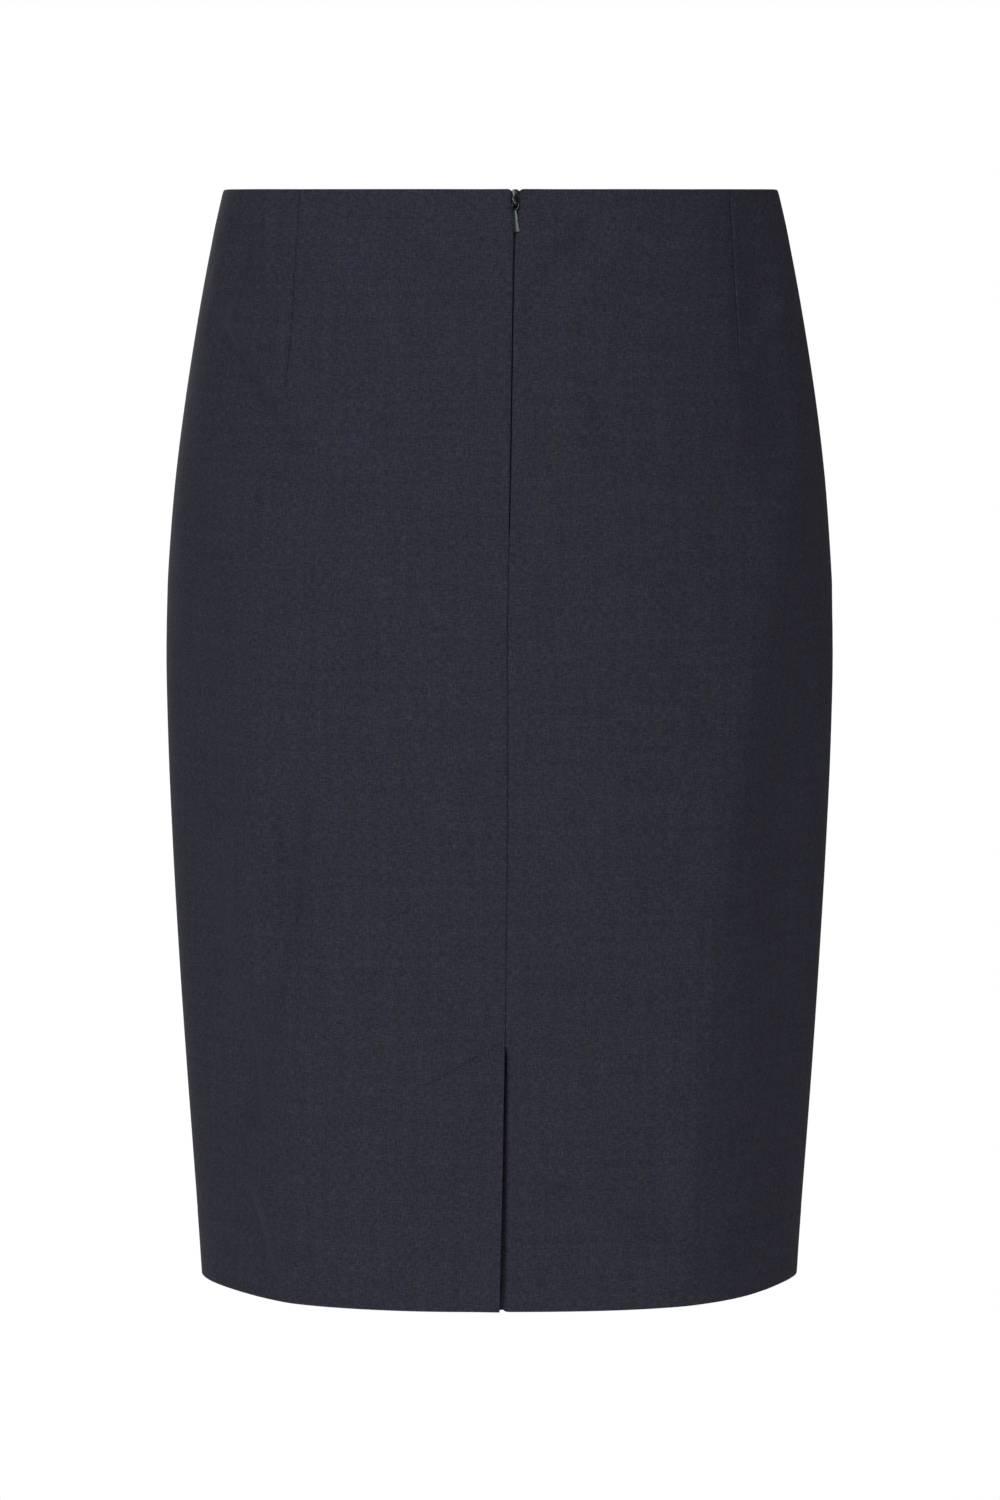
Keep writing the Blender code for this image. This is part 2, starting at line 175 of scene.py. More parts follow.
@dataclass(frozen=True)
class SkirtForm:
    """The form that all the panels follow."""

    length: float = 0.600
    samples: int = 480

    def section(self, drop: float) -> Section:
        """The section at one drop.

        Args:
            drop: The drop.

        Returns:
            The section, read between the rows of SECTIONS.
        """
        places = np.array([row.drop for row in SECTIONS])
        names = ("half_width", "back_depth", "front_depth", "side_power", "depth_power")
        at = np.array([drop])
        columns = (np.array([getattr(row, name) for row in SECTIONS]) for name in names)
        return Section(drop, *(float(smooth_curve(places, c, at)[0]) for c in columns))

    def seam_x(self, drop: float | np.ndarray) -> np.ndarray:
        """Where the centre back seam stands at a drop."""
        places, values = np.array(CENTRE_BACK).T
        return smooth_curve(places, values, np.atleast_1d(np.asarray(drop, float)))

    def gap(self, drop: float) -> float:
        """How far apart the two backs stand at a drop."""
        places, values = np.array(OPENINGS).T
        return float(np.interp(drop, places, values))

    def angle_over(self, section: Section, x: float) -> float:
        """The angle, from the right side round the back, at which a section stands over x."""
        share = abs(x / section.half_width) ** (section.side_power / 2)
        return math.acos(math.copysign(min(share, 1.0), x))

    def outline(self, section: Section, start: float, end: float) -> np.ndarray:
        """Dense points of a section between two angles, with 0 at the right side.

        Args:
            section: The section.
            start: First angle, in radians; the back has angles below 0.
            end: Last angle.

        Returns:
            The points, one a row.
        """
        angle = np.linspace(start, end, self.samples)
        cosine, sine = np.cos(angle), np.sin(angle)
        depth = np.where(sine < 0, section.back_depth, section.front_depth)
        x = np.sign(cosine) * np.abs(cosine) ** (2 / section.side_power) * section.half_width
        y = np.sign(sine) * np.abs(sine) ** (2 / section.depth_power) * depth
        return np.stack([x, y, np.full_like(x, -section.drop)], axis=1)

    def level_normals(self, section: Section, points: np.ndarray) -> np.ndarray:
        """The level directions straight out of the form at points of a section.

        Args:
            section: The section.
            points: Points on it, one a row.

        Returns:
            The directions, one a row.
        """
        depth = np.where(points[:, 1] < 0, section.back_depth, section.front_depth)
        across = np.abs(points[:, 0] / section.half_width) ** (section.side_power - 1)
        along = np.abs(points[:, 1] / depth) ** (section.depth_power - 1)
        x = np.sign(points[:, 0]) * across * section.side_power / section.half_width
        y = np.sign(points[:, 1]) * along * section.depth_power / depth
        normals = np.stack([x, y, np.zeros_like(x)], axis=1)
        return normals / np.linalg.norm(normals, axis=1)[:, None]

    def place(self, face: Face, x: float, drop: float) -> np.ndarray:
        """The point of a face over x at a drop.

        Args:
            face: The side of the skirt.
            x: Where it stands across the skirt.
            drop: Its drop.

        Returns:
            The point.
        """
        section = self.section(drop)
        share = min(abs(x / section.half_width) ** section.side_power, 1.0)
        y = face.value * section.depth(face) * (1 - share) ** (1 / section.depth_power)
        return np.array([x, y, -drop])

    def frame_at(self, face: Face, x: float, drop: float, stand_off: float = 0.0) -> Matrix:
        """A frame on the cloth: its x runs along the cloth, its y inwards and its z up.

        Args:
            face: The side of the skirt.
            x: Where it stands across the skirt.
            drop: Its drop.
            stand_off: How far it stands out from the form.

        Returns:
            The frame as a matrix.
        """
        step = 2 * MM
        low, high = self.place(face, x, drop + step), self.place(face, x, max(drop - step, 0))
        beside, here = self.place(face, x - face.value * step, drop), self.place(face, x, drop)
        up = Vector(high - low).normalized()
        inward = up.cross(Vector(beside - here)).normalized()
        along = inward.cross(up)
        turn = Matrix((along, inward, up)).transposed().to_4x4()
        return Matrix.Translation(Vector(here) - inward * stand_off) @ turn


# ---------------------------------------------------------------------------------------------
# Relief and lengths
# ---------------------------------------------------------------------------------------------


@dataclass(frozen=True)
class Ridge:
    """A soft ridge along a line, or a groove where its height is below 0."""

    height: float
    width: float
    place: float = 0.0

    def at(self, distance: np.ndarray) -> np.ndarray:
        """Its height at distances from the line that its place is measured from."""
        return self.height * np.exp(-(((distance - self.place) / self.width) ** 2))


@dataclass(frozen=True)
class Ledge:
    """A height that ends softly at a place, as over the edge of a layer of cloth below."""

    height: float
    softness: float
    place: float = 0.0

    def at(self, distance: np.ndarray) -> np.ndarray:
        """Its height at distances from the line that its place is measured from."""
        return self.height / (1 + np.exp((distance - self.place) / self.softness))


def run_along(points: np.ndarray) -> np.ndarray:
    """The length along a line of points, at each of them."""
    steps = np.linalg.norm(np.diff(points, axis=0), axis=1)
    return np.concatenate([[0.0], np.cumsum(steps)])


def rounded(distance: np.ndarray, radius: float) -> np.ndarray:
    """How far a rounded edge has turned in at a distance from it: 1 at the edge, 0 past it."""
    left = 1 - np.clip(distance / radius, 0, 1)
    return 1 - np.sqrt(np.clip(1 - left**2, 0, 1))


# ---------------------------------------------------------------------------------------------
# Finishes
# ---------------------------------------------------------------------------------------------


def linear(colour: str) -> tuple[float, float, float, float]:
    """Turns an sRGB hex colour to linear, with alpha 1.

    Args:
        colour: The colour, as # and six hex digits.

    Returns:
        Its red, green, blue and alpha.
    """
    channels = [int(colour[i : i + 2], 16) / 255 for i in (1, 3, 5)]
    curve = [c / 12.92 if c <= 0.04045 else ((c + 0.055) / 1.055) ** 2.4 for c in channels]
    return (curve[0], curve[1], curve[2], 1.0)


SHADER_SOCKETS = {
    "ior": "IOR",
    "metallic": "Metallic",
    "roughness": "Roughness",
    "sheen_weight": "Sheen Weight",
    "sheen_roughness": "Sheen Roughness",
    "specular_level": "Specular IOR Level",
    "emission_strength": "Emission Strength",
}


class NodeSheet:
    """A material's node tree, as it is being laid out."""

    def __init__(self, name: str) -> None:
        """Starts a material with only its output and a Principled shader.

        Args:
            name: The material's name.
        """
        self.material = bpy.data.materials.new(name)
        self.material.use_nodes = True
        self.tree = self.material.node_tree
        self.shader = self.tree.nodes["Principled BSDF"]

    def add(self, kind: str, settings: dict[str, Any], links: dict[Any, Any]) -> bpy.types.Node:
        """Adds a node.

        Args:
            kind: The node's type.
            settings: Its properties, or values of its input sockets.
            links: Input sockets, by name or index, and the sockets that feed them.

        Returns:
            The node.
        """
        node = self.tree.nodes.new(kind)
        for name, value in settings.items():
            if isinstance(name, str) and hasattr(node, name):
                setattr(node, name, value)
            else:
                node.inputs[name].default_value = value
        for name, source in links.items():
            self.tree.links.new(source, node.inputs[name])
        return node

    def set(self, **values: Any) -> None:
        """Sets constants on the shader, by the names of SHADER_SOCKETS."""
        for name, value in values.items():
            self.shader.inputs[SHADER_SOCKETS[name]].default_value = value

    def feed(self, socket: str, source: bpy.types.NodeSocket) -> None:
        """Feeds one of the shader's sockets."""
        self.tree.links.new(source, self.shader.inputs[socket])


@dataclass(frozen=True)
class WorstedSuiting:
    """Fine worsted wool, yarn dyed and woven plain: two close navies flecked by uneven yarns."""

    name: str = "worsted_wool_suiting"
    dark: str = "#22222A"
    mid: str = "#2A2A35"
    light: str = "#33333F"
    # The strengths of the flecks at which the yarn is darkest and lightest.
    dark_at: float = 0.36
    light_at: float = 0.64
    # The yarn's blue is a little greyer in patches, which keeps the cloth from looking flat.
    greyed: tuple[float, float, float, float] = (1.03, 1.03, 0.90, 1.0)
    drift: float = 0.007
    # Real threads lie 0.4 mm apart, too fine to show, so the weave is drawn at twice that.
    thread: float = 0.0008
    fleck_length: float = 0.0036
    speck: float = 0.0010
    # Thicker stretches of yarn show as faint long streaks both ways.
    slub: float = 0.0045
    slub_length: float = 0.050
    slub_shade: float = 0.10
    roughness: float = 0.95
    ior: float = 1.45
    specular: float = 0.05
    sheen: float = 0.015
    sheen_roughness: float = 0.45
    bump: float = 0.35
    bump_height: float = 0.00012

    def make(self) -> bpy.types.Material:
        """Lays the finish out as nodes.

        Returns:
            The material.
        """
        sheet = NodeSheet(self.name)
        cloth = sheet.add("ShaderNodeUVMap", {"uv_map": GRAIN_MAP}, {}).outputs["UV"]

        def uneven(across: float, along: float, detail: float = 1.0) -> bpy.types.NodeSocket:
            """Unevenness whose spots are so wide and so long, in metres of cloth.

            Args:
                across: The width of its spots, in metres.
                along: Their length, in metres.
                detail: How much finer detail they have.

            Returns:
                The socket that gives it.
            """
            times = {"operation": "MULTIPLY", 1: (1 / across, 1 / along, 1.0)}
            grid = sheet.add("ShaderNodeVectorMath", times, {0: cloth})
            noise = sheet.add(
                "ShaderNodeTexNoise",
                {"noise_dimensions": "2D", "Scale": 1.0, "Detail": detail, "Roughness": 0.6},
                {"Vector": grid.outputs["Vector"]},
            )
            return noise.outputs["Fac"]

        flecks = uneven(self.thread, self.fleck_length)
        for other in (uneven(self.fleck_length, self.thread), uneven(self.speck, self.speck)):
            both = sheet.add("ShaderNodeMath", {"operation": "ADD"}, {0: flecks, 1: other})
            flecks = both.outputs[0]
        tone = sheet.add("ShaderNodeMath", {"operation": "MULTIPLY", 1: 0.3333}, {0: flecks})
        ramp = sheet.add("ShaderNodeValToRGB", {}, {"Fac": tone.outputs[0]})
        stops = ramp.color_ramp.elements
        stops[0].position, stops[0].color = self.dark_at, linear(self.dark)
        stops[1].position, stops[1].color = self.light_at, linear(self.light)
        stops.new(0.5).color = linear(self.mid)
        slubs = sheet.add(
            "ShaderNodeMath",
            {"operation": "ADD"},
            {
                0: uneven(self.slub, self.slub_length, 1.5),
                1: uneven(self.slub_length, self.slub, 1.5),
            },
        )
        span = {"From Min": 0.6, "From Max": 1.4}
        shades = {"To Min": 1 - self.slub_shade, "To Max": 1 + self.slub_shade}
        shade = sheet.add("ShaderNodeMapRange", span | shades, {"Value": slubs.outputs[0]})
        greying = sheet.add(
            "ShaderNodeMapRange",
            {"From Min": 0.40, "From Max": 0.70},
            {"Value": uneven(self.drift, 2 * self.drift)},
        )
        yarn = sheet.add(
            "ShaderNodeMix",
            {"data_type": "RGBA", "blend_type": "MULTIPLY", 7: self.greyed},
            {0: greying.outputs["Result"], 6: ramp.outputs["Color"]},
        )
        streaked = sheet.add(
            "ShaderNodeVectorMath",
            {"operation": "SCALE"},
            {0: yarn.outputs[2], "Scale": shade.outputs["Result"]},
        )
        sheet.feed("Base Color", streaked.outputs["Vector"])
        weave = sheet.add(
            "ShaderNodeBump",
            {"Strength": self.bump, "Distance": self.bump_height},
            {"Height": tone.outputs[0]},
        )
        sheet.feed("Normal", weave.outputs["Normal"])
        sheet.set(roughness=self.roughness, ior=self.ior, specular_level=self.specular)
        sheet.set(sheen_weight=self.sheen, sheen_roughness=self.sheen_roughness)
        return sheet.material


@dataclass(frozen=True)
class WovenTape:
    """Polyester zip tape in a close herringbone: darker and flatter than the wool."""

    name: str = "woven_polyester_tape"
    dark: str = "#0B0C10"
    light: str = "#15161C"
    rib: float = 0.0007
    # A rib, dark or light, is half a wave, which is this long across the tape at a scale of 1.
    half_wave: float = 0.31
    roughness: float = 0.75
    ior: float = 1.5
    specular: float = 0.2
    bump: float = 0.4
    bump_height: float = 0.0001

    def make(self) -> bpy.types.Material:
        """Lays the finish out as nodes.

        Returns:
            The material.
        """
        sheet = NodeSheet(self.name)
        cloth = sheet.add("ShaderNodeUVMap", {"uv_map": GRAIN_MAP}, {}).outputs["UV"]
        scale = self.half_wave / self.rib
        wave = sheet.add(
            "ShaderNodeTexWave",
            {"wave_type": "BANDS", "bands_direction": "DIAGONAL", "Scale": scale},
            {"Vector": cloth},
        )
        ramp = sheet.add("ShaderNodeValToRGB", {}, {"Fac": wave.outputs["Fac"]})
        for stop, colour in zip(ramp.color_ramp.elements, (self.dark, self.light)):
            stop.color = linear(colour)
        sheet.feed("Base Color", ramp.outputs["Color"])
        ribs = sheet.add(
            "ShaderNodeBump",
            {"Strength": self.bump, "Distance": self.bump_height},
            {"Height": wave.outputs["Fac"]},
        )
        sheet.feed("Normal", ribs.outputs["Normal"])
        sheet.set(roughness=self.roughness, ior=self.ior, specular_level=self.specular)
        return sheet.material


@dataclass(frozen=True)
class DyedFibre:
    """A dyed fibre whose colour runs unevenly between two close shades."""

    name: str
    dark: str
    light: str
    grain: float
    roughness: float
    ior: float
    specular: float

    def make(self) -> bpy.types.Material:
        """Lays the finish out as nodes.

        Returns:
            The material.
        """
        sheet = NodeSheet(self.name)
        place = sheet.add("ShaderNodeTexCoord", {}, {}).outputs["Object"]
        cloud = sheet.add("ShaderNodeTexNoise", {"Scale": 1 / self.grain}, {"Vector": place})
        ramp = sheet.add("ShaderNodeValToRGB", {}, {"Fac": cloud.outputs["Fac"]})
        for stop, colour in zip(ramp.color_ramp.elements, (self.dark, self.light)):
            stop.color = linear(colour)
        sheet.feed("Base Color", ramp.outputs["Color"])
        sheet.set(roughness=self.roughness, ior=self.ior, specular_level=self.specular)
        return sheet.material


@dataclass(frozen=True)
class SpunThread(DyedFibre):
    """Spun polyester sewing thread: a dark, matt, twisted ply."""

    name: str = "spun_polyester_thread"
    dark: str = "#0F0F14"
    light: str = "#1E1E26"
    grain: float = 0.0003
    roughness: float = 0.9
    ior: float = 1.5
    specular: float = 0.15


@dataclass(frozen=True)
class NylonCoil(DyedFibre):
    """Drawn nylon monofilament, dyed dark: smooth, so each loop carries a small highlight."""

    name: str = "drawn_nylon_coil"
    dark: str = "#1C1E27"
    light: str = "#242732"
    grain: float = 0.0015
    roughness: float = 0.38
    ior: float = 1.53
    specular: float = 0.5


@dataclass(frozen=True)
class LacqueredZinc:
    """Die-cast zinc under dark blue-grey lacquer: satin, near black turned from the light."""

    name: str = "lacquered_zinc"
    body: str = "#1E2222"
    thin: str = "#343939"
    orange_peel: float = 0.0006
    metallic: float = 0.95
    roughness: float = 0.30
    # How much glossier and duller than that the lacquer gets from spot to spot.
    glossier: float = 0.06
    duller: float = 0.08
    bump: float = 0.15
    bump_height: float = 0.00005

    def make(self) -> bpy.types.Material:
        """Lays the finish out as nodes.

        Returns:
            The material.
        """
        sheet = NodeSheet(self.name)
        place = sheet.add("ShaderNodeTexCoord", {}, {}).outputs["Object"]
        scale = 1 / self.orange_peel
        peel = sheet.add("ShaderNodeTexNoise", {"Scale": scale, "Detail": 2.0}, {"Vector": place})
        coat = sheet.add(
            "ShaderNodeMix",
            {"data_type": "RGBA", 6: linear(self.body), 7: linear(self.thin)},
            {0: peel.outputs["Fac"]},
        )
        sheet.feed("Base Color", coat.outputs[2])
        gloss = sheet.add(
            "ShaderNodeMapRange",
            {"To Min": self.roughness - self.glossier, "To Max": self.roughness + self.duller},
            {"Value": peel.outputs["Fac"]},
        )
        sheet.feed("Roughness", gloss.outputs["Result"])
        skin = sheet.add(
            "ShaderNodeBump",
            {"Strength": self.bump, "Distance": self.bump_height},
            {"Height": peel.outputs["Fac"]},
        )
        sheet.feed("Normal", skin.outputs["Normal"])
        sheet.set(metallic=self.metallic)
        return sheet.material


@dataclass(frozen=True)
class StudioPaper:
    """White studio paper, matt and evenly lit, which stays just under blown out."""

    name: str = "white_studio_paper"
    colour: str = "#F7F7F7"
    glow: float = 1.06
    tooth: float = 0.0025
    bump: float = 0.05
    bump_height: float = 0.0002

    def make(self) -> bpy.types.Material:
        """Lays the finish out as nodes.

        Returns:
            The material.
        """
        sheet = NodeSheet(self.name)
        place = sheet.add("ShaderNodeTexCoord", {}, {}).outputs["Object"]
        tooth = sheet.add("ShaderNodeTexNoise", {"Scale": 1 / self.tooth}, {"Vector": place})
        grain = sheet.add(
            "ShaderNodeBump",
            {"Strength": self.bump, "Distance": self.bump_height},
            {"Height": tooth.outputs["Fac"]},
        )
        sheet.feed("Normal", grain.outputs["Normal"])
        for socket in ("Base Color", "Emission Color"):
            sheet.shader.inputs[socket].default_value = linear(self.colour)
        sheet.set(roughness=1.0, emission_strength=self.glow)
        return sheet.material


@dataclass
class Finishes:
    """Every finish, made once."""

    suiting: bpy.types.Material = field(default_factory=lambda: WorstedSuiting().make())
    tape: bpy.types.Material = field(default_factory=lambda: WovenTape().make())
    thread: bpy.types.Material = field(default_factory=lambda: SpunThread().make())
    coil: bpy.types.Material = field(default_factory=lambda: NylonCoil().make())
    zinc: bpy.types.Material = field(default_factory=lambda: LacqueredZinc().make())
    paper: bpy.types.Material = field(default_factory=lambda: StudioPaper().make())


# ---------------------------------------------------------------------------------------------
# Cloth
# ---------------------------------------------------------------------------------------------


class Shape(Enum):
    """How a fold's cross-section runs."""

    ROLL = "a rounded ridge or trough"
    BREAK = "a soft bend between two flatter stretches"


@dataclass(frozen=True)
class Fold:
    """A soft fold in the cloth along a line through a few given (x, drop) points.

    depth is above 0 where the cloth stands out and below 0 where it sinks; width is how far
    from the line it has mostly died out. fade says how slowly it dies out towards its ends,
    and bend how round the top of a BREAK is.
    """

    face: Face
    route: tuple[tuple[float, float], ...]
    width: float
    depth: float
    shape: Shape = Shape.ROLL
    fade: float = 0.7
    bend: float = 0.08

    def line(self, form: SkirtForm) -> np.ndarray:
        """Points along the fold on the form.

        Args:
            form: The form that it lies on.

        Returns:
            The points, one a row.
        """
        at = np.linspace(0, len(self.route) - 1, 4 * len(self.route))
        places = np.arange(len(self.route), dtype=float)
        x, drop = (smooth_curve(places, np.array(column), at) for column in zip(*self.route))
        return np.stack([form.place(self.face, px, max(pd, 0.0)) for px, pd in zip(x, drop)])

    def relief(self, form: SkirtForm, points: np.ndarray) -> np.ndarray:
        """How far the fold lifts each point.

        Args:
            form: The form that it lies on.
            points: Points on the form, one a row.

        Returns:
            The lift of each.
        """
        path = self.line(form)
        best = np.full(len(points), np.inf)
        along = np.zeros(len(points))
        for index, (a, b) in enumerate(zip(path, path[1:])):
            run = b - a
            t = np.clip((points - a) @ run / max(run @ run, 1e-12), 0, 1)
            away = np.linalg.norm(points - (a + t[:, None] * run), axis=1)
            closer = away < best
            best = np.where(closer, away, best)
            along = np.where(closer, (index + t) / (len(path) - 1), along)
        ends = np.sin(math.pi * np.clip(along, 0.01, 0.99)) ** self.fade
        share = best / self.width
        if self.shape is Shape.ROLL:
            return self.depth * np.exp(-(share**2)) * ends
        return self.depth * np.exp(-np.sqrt(share**2 + self.bend)) * ends


FOLDS = (
    # Drags from the left hip towards the end of the left dart.
    Fold(Face.BACK, ((-0.159, 0.068), (-0.136, 0.104), (-0.108, 0.147)), 0.0075, -0.0052),
    Fold(Face.BACK, ((-0.156, 0.04), (-0.134, 0.078), (-0.104, 0.124)), 0.012, 0.0042),
    Fold(Face.BACK, ((-0.14, 0.012), (-0.141, 0.04), (-0.15, 0.072)), 0.013, -0.0048),
    Fold(Face.BACK, ((-0.128, 0.002), (-0.126, 0.03), (-0.124, 0.06)), 0.011, 0.0026),
    # The right hip, beside and below the right dart.
    Fold(Face.BACK, ((0.133, 0.002), (0.139, 0.05), (0.144, 0.1), (0.15, 0.15)), 0.017, -0.004),
    Fold(Face.BACK, ((0.16, 0.052), (0.147, 0.072), (0.134, 0.096)), 0.008, 0.0034),
    Fold(Face.BACK, ((0.118, 0.008), (0.132, 0.01), (0.146, 0.014)), 0.011, -0.0012),
    # Short drags either side of the zip.
    Fold(Face.BACK, ((0.058, 0.014), (0.036, 0.034), (0.018, 0.06)), 0.008, -0.0034),
    Fold(Face.BACK, ((0.07, 0.024), (0.05, 0.044), (0.028, 0.078)), 0.01, 0.0032),
    Fold(Face.BACK, ((-0.054, 0.012), (-0.034, 0.03), (-0.012, 0.046)), 0.0085, -0.003),
    Fold(Face.BACK, ((0.03, 0.09), (0.04, 0.12), (0.044, 0.16)), 0.012, 0.0018),
    # The left side below the hip.
    Fold(Face.BACK, ((-0.11, 0.31), (-0.114, 0.366), (-0.122, 0.436)), 0.0115, -0.0086),
    Fold(Face.BACK, ((-0.14, 0.33), (-0.142, 0.396), (-0.14, 0.44)), 0.014, 0.0042),
    Fold(Face.BACK, ((-0.15, 0.44), (-0.142, 0.474), (-0.138, 0.51)), 0.012, -0.006),
    Fold(Face.BACK, ((-0.148, 0.534), (-0.136, 0.562), (-0.124, 0.594)), 0.0065, -0.0033),
    Fold(Face.BACK, ((-0.136, 0.53), (-0.124, 0.556), (-0.114, 0.59)), 0.0075, 0.0028),
    Fold(Face.BACK, ((-0.166, 0.14), (-0.158, 0.24), (-0.16, 0.33)), 0.015, -0.002),
    # The back turns to the side along these two.
    Fold(
        Face.BACK,
        ((0.163, 0.12), (0.155, 0.167), (0.143, 0.22), (0.131, 0.273), (0.119, 0.353),
         (0.11, 0.433), (0.104, 0.52), (0.1, 0.612)),
        0.021, 0.0064, Shape.BREAK, 0.4,
    ),
    Fold(
        Face.BACK,
        ((0.173, 0.2), (0.166, 0.273), (0.161, 0.353), (0.158, 0.433), (0.155, 0.55),
         (0.154, 0.612)),
        0.038, -0.0086, Shape.ROLL, 0.45,
    ),
    Fold(Face.BACK, ((0.164, 0.262), (0.171, 0.267), (0.176, 0.276)), 0.004, -0.001),
    Fold(
        Face.BACK,
        ((-0.166, 0.2), (-0.145, 0.3), (-0.129, 0.359), (-0.117, 0.433), (-0.114, 0.53),
         (-0.113, 0.612)),
        0.02, 0.0048, Shape.BREAK, 0.4,
    ),
    Fold(
        Face.BACK,
        ((-0.17, 0.2), (-0.16, 0.34), (-0.152, 0.433), (-0.148, 0.55), (-0.148, 0.612)),
        0.038, -0.0073, Shape.ROLL, 0.5,
    ),
    # Low on the right back.
    Fold(Face.BACK, ((0.08, 0.5), (0.084, 0.536), (0.088, 0.566)), 0.014, -0.003),
    # The front, which has the same kind of drags across the lap and from the hips.
    Fold(Face.FRONT, ((0.156, 0.066), (0.13, 0.092), (0.098, 0.124)), 0.0095, -0.003),
    Fold(Face.FRONT, ((0.152, 0.088), (0.128, 0.114), (0.102, 0.146)), 0.011, 0.0032),
    Fold(Face.FRONT, ((-0.158, 0.078), (-0.136, 0.096), (-0.108, 0.122)), 0.0095, -0.0028),
    Fold(Face.FRONT, ((-0.128, 0.204), (-0.056, 0.222), (0.02, 0.206)), 0.011, -0.003),
    Fold(Face.FRONT, ((-0.026, 0.228), (0.05, 0.242), (0.128, 0.22)), 0.01, -0.0027),
    Fold(Face.FRONT, ((-0.09, 0.25), (-0.05, 0.26), (-0.006, 0.256)), 0.009, 0.002),
    Fold(Face.FRONT, ((0.062, 0.012), (0.04, 0.03), (0.024, 0.05)), 0.009, -0.002),
    Fold(
        Face.FRONT,
        ((0.15, 0.15), (0.134, 0.27), (0.122, 0.4), (0.112, 0.57)),
        0.026, 0.0042, Shape.BREAK, 0.4,
    ),
    Fold(
        Face.FRONT,
        ((-0.146, 0.17), (-0.128, 0.3), (-0.118, 0.44), (-0.11, 0.58)),
        0.026, 0.0038, Shape.BREAK, 0.4,
    ),
    Fold(Face.FRONT, ((-0.104, 0.36), (-0.096, 0.44), (-0.1, 0.52)), 0.012, -0.004),
    Fold(Face.FRONT, ((0.098, 0.42), (0.102, 0.49), (0.104, 0.56)), 0.011, -0.0036),
    Fold(Face.FRONT, ((0.024, 0.5), (0.034, 0.55), (0.046, 0.59)), 0.014, -0.003),
    Fold(Face.FRONT, ((0.162, 0.236), (0.168, 0.244), (0.174, 0.256)), 0.004, -0.0011),
)


@dataclass(frozen=True)
class Ripple:
    """A very slight waviness of the whole cloth: so many waves round it and along it."""

    around: float
    along: float
    phase: float
    height: float


RIPPLES = (
    Ripple(5, 1.3, 0.4, 0.00022),
    Ripple(9, 0.6, 2.1, 0.00012),
    Ripple(3, 2.7, 4.0, 0.00020),
    Ripple(13, 1.9, 1.2, 0.00007),
    Ripple(7, 4.1, 5.3, 0.00009),
)


def form_relief(form: SkirtForm, points: np.ndarray) -> np.ndarray:
    """The lift of the worn cloth off the plain form: its folds and its slight waviness.

    Args:
        form: The form.
        points: Points on it, in rows and columns.

    Returns:
        The lift of each.
    """
    flat = points.reshape(-1, 3)
    lift = np.zeros(len(flat))
    for fold in FOLDS:
        lift += fold.relief(form, flat)
    angle = np.arctan2(flat[:, 1], flat[:, 0])
    down = -flat[:, 2] / form.length * math.pi
    for ripple in RIPPLES:
        wave = np.sin(ripple.around * angle + ripple.phase)
        lift += ripple.height * wave * np.sin(ripple.along * down + ripple.phase)
    return lift.reshape(points.shape[:2])


@dataclass(frozen=True)
class Dart:
    """A waist dart: a stitched line from the edge to a point, its fold pressed to the centre.

    top_x and tip_x are the distances of its two ends from the middle of the skirt.
    """

    top_x: float
    tip_x: float
    tip_drop: float
    groove: float = 0.00120
    groove_width: float = 0.00055
    groove_fade: float = 0.1
    intake: float = 0.012
    intake_height: float = 0.00022
    # The pressed fold's edge is soft over this share of its width, and this much more.
    intake_edge: float = 0.15
    intake_softness: float = 0.0004
    pinch: Ridge = Ridge(-0.00030, 0.0028)
    swell: Ridge = Ridge(0.00045, 0.022)
    swell_below_tip: float = 0.018

    def places(
        self, drops: np.ndarray, lengths: np.ndarray, outlines: Sequence[np.ndarray]
    ) -> np.ndarray:
        """Where the line, and the grain straight below it, cross each row.

        Args:
            drops: The rows' drops.
            lengths: Their lengths from the centre to the side.
            outlines: Their outlines, from the centre to the side.

        Returns:
            The distance from the centre along each row.
        """
        found = []
        for drop, length, outline in zip(drops, lengths, outlines):
            if drop > self.tip_drop and found:
                found.append(found[-1] / before * length)
            else:
                x = self.top_x + (self.tip_x - self.top_x) * drop / self.tip_drop
                found.append(float(np.interp(x, np.abs(outline[:, 0]), run_along(outline))))
            before = length
        return np.array(found)

    def relief(self, away: np.ndarray, drop: np.ndarray) -> np.ndarray:
        """The lift of the cloth by the dart.

        Args:
            away: Signed distance from the line, below 0 on the centre side.
            drop: The drop of each point.

        Returns:
            The lift of each.
        """
        left = np.clip(1 - drop / self.tip_drop, 0, 1)
        sewn = np.clip(left / self.groove_fade, 0, 1)
        line = -self.groove * sewn * np.exp(-np.abs(away) / self.groove_width)
        width = np.maximum(self.intake * left, 1e-5)
        softness = self.intake_edge * width + self.intake_softness
        inside = 1 / (1 + np.exp((-away - width) / softness))
        fold = self.intake_height * inside * (away < 0) * np.sqrt(left)
        below_tip = drop - self.tip_drop
        swell = self.swell.at(np.hypot(away, below_tip - self.swell_below_tip))
        return line + fold + swell + self.pinch.at(np.hypot(away, below_tip))


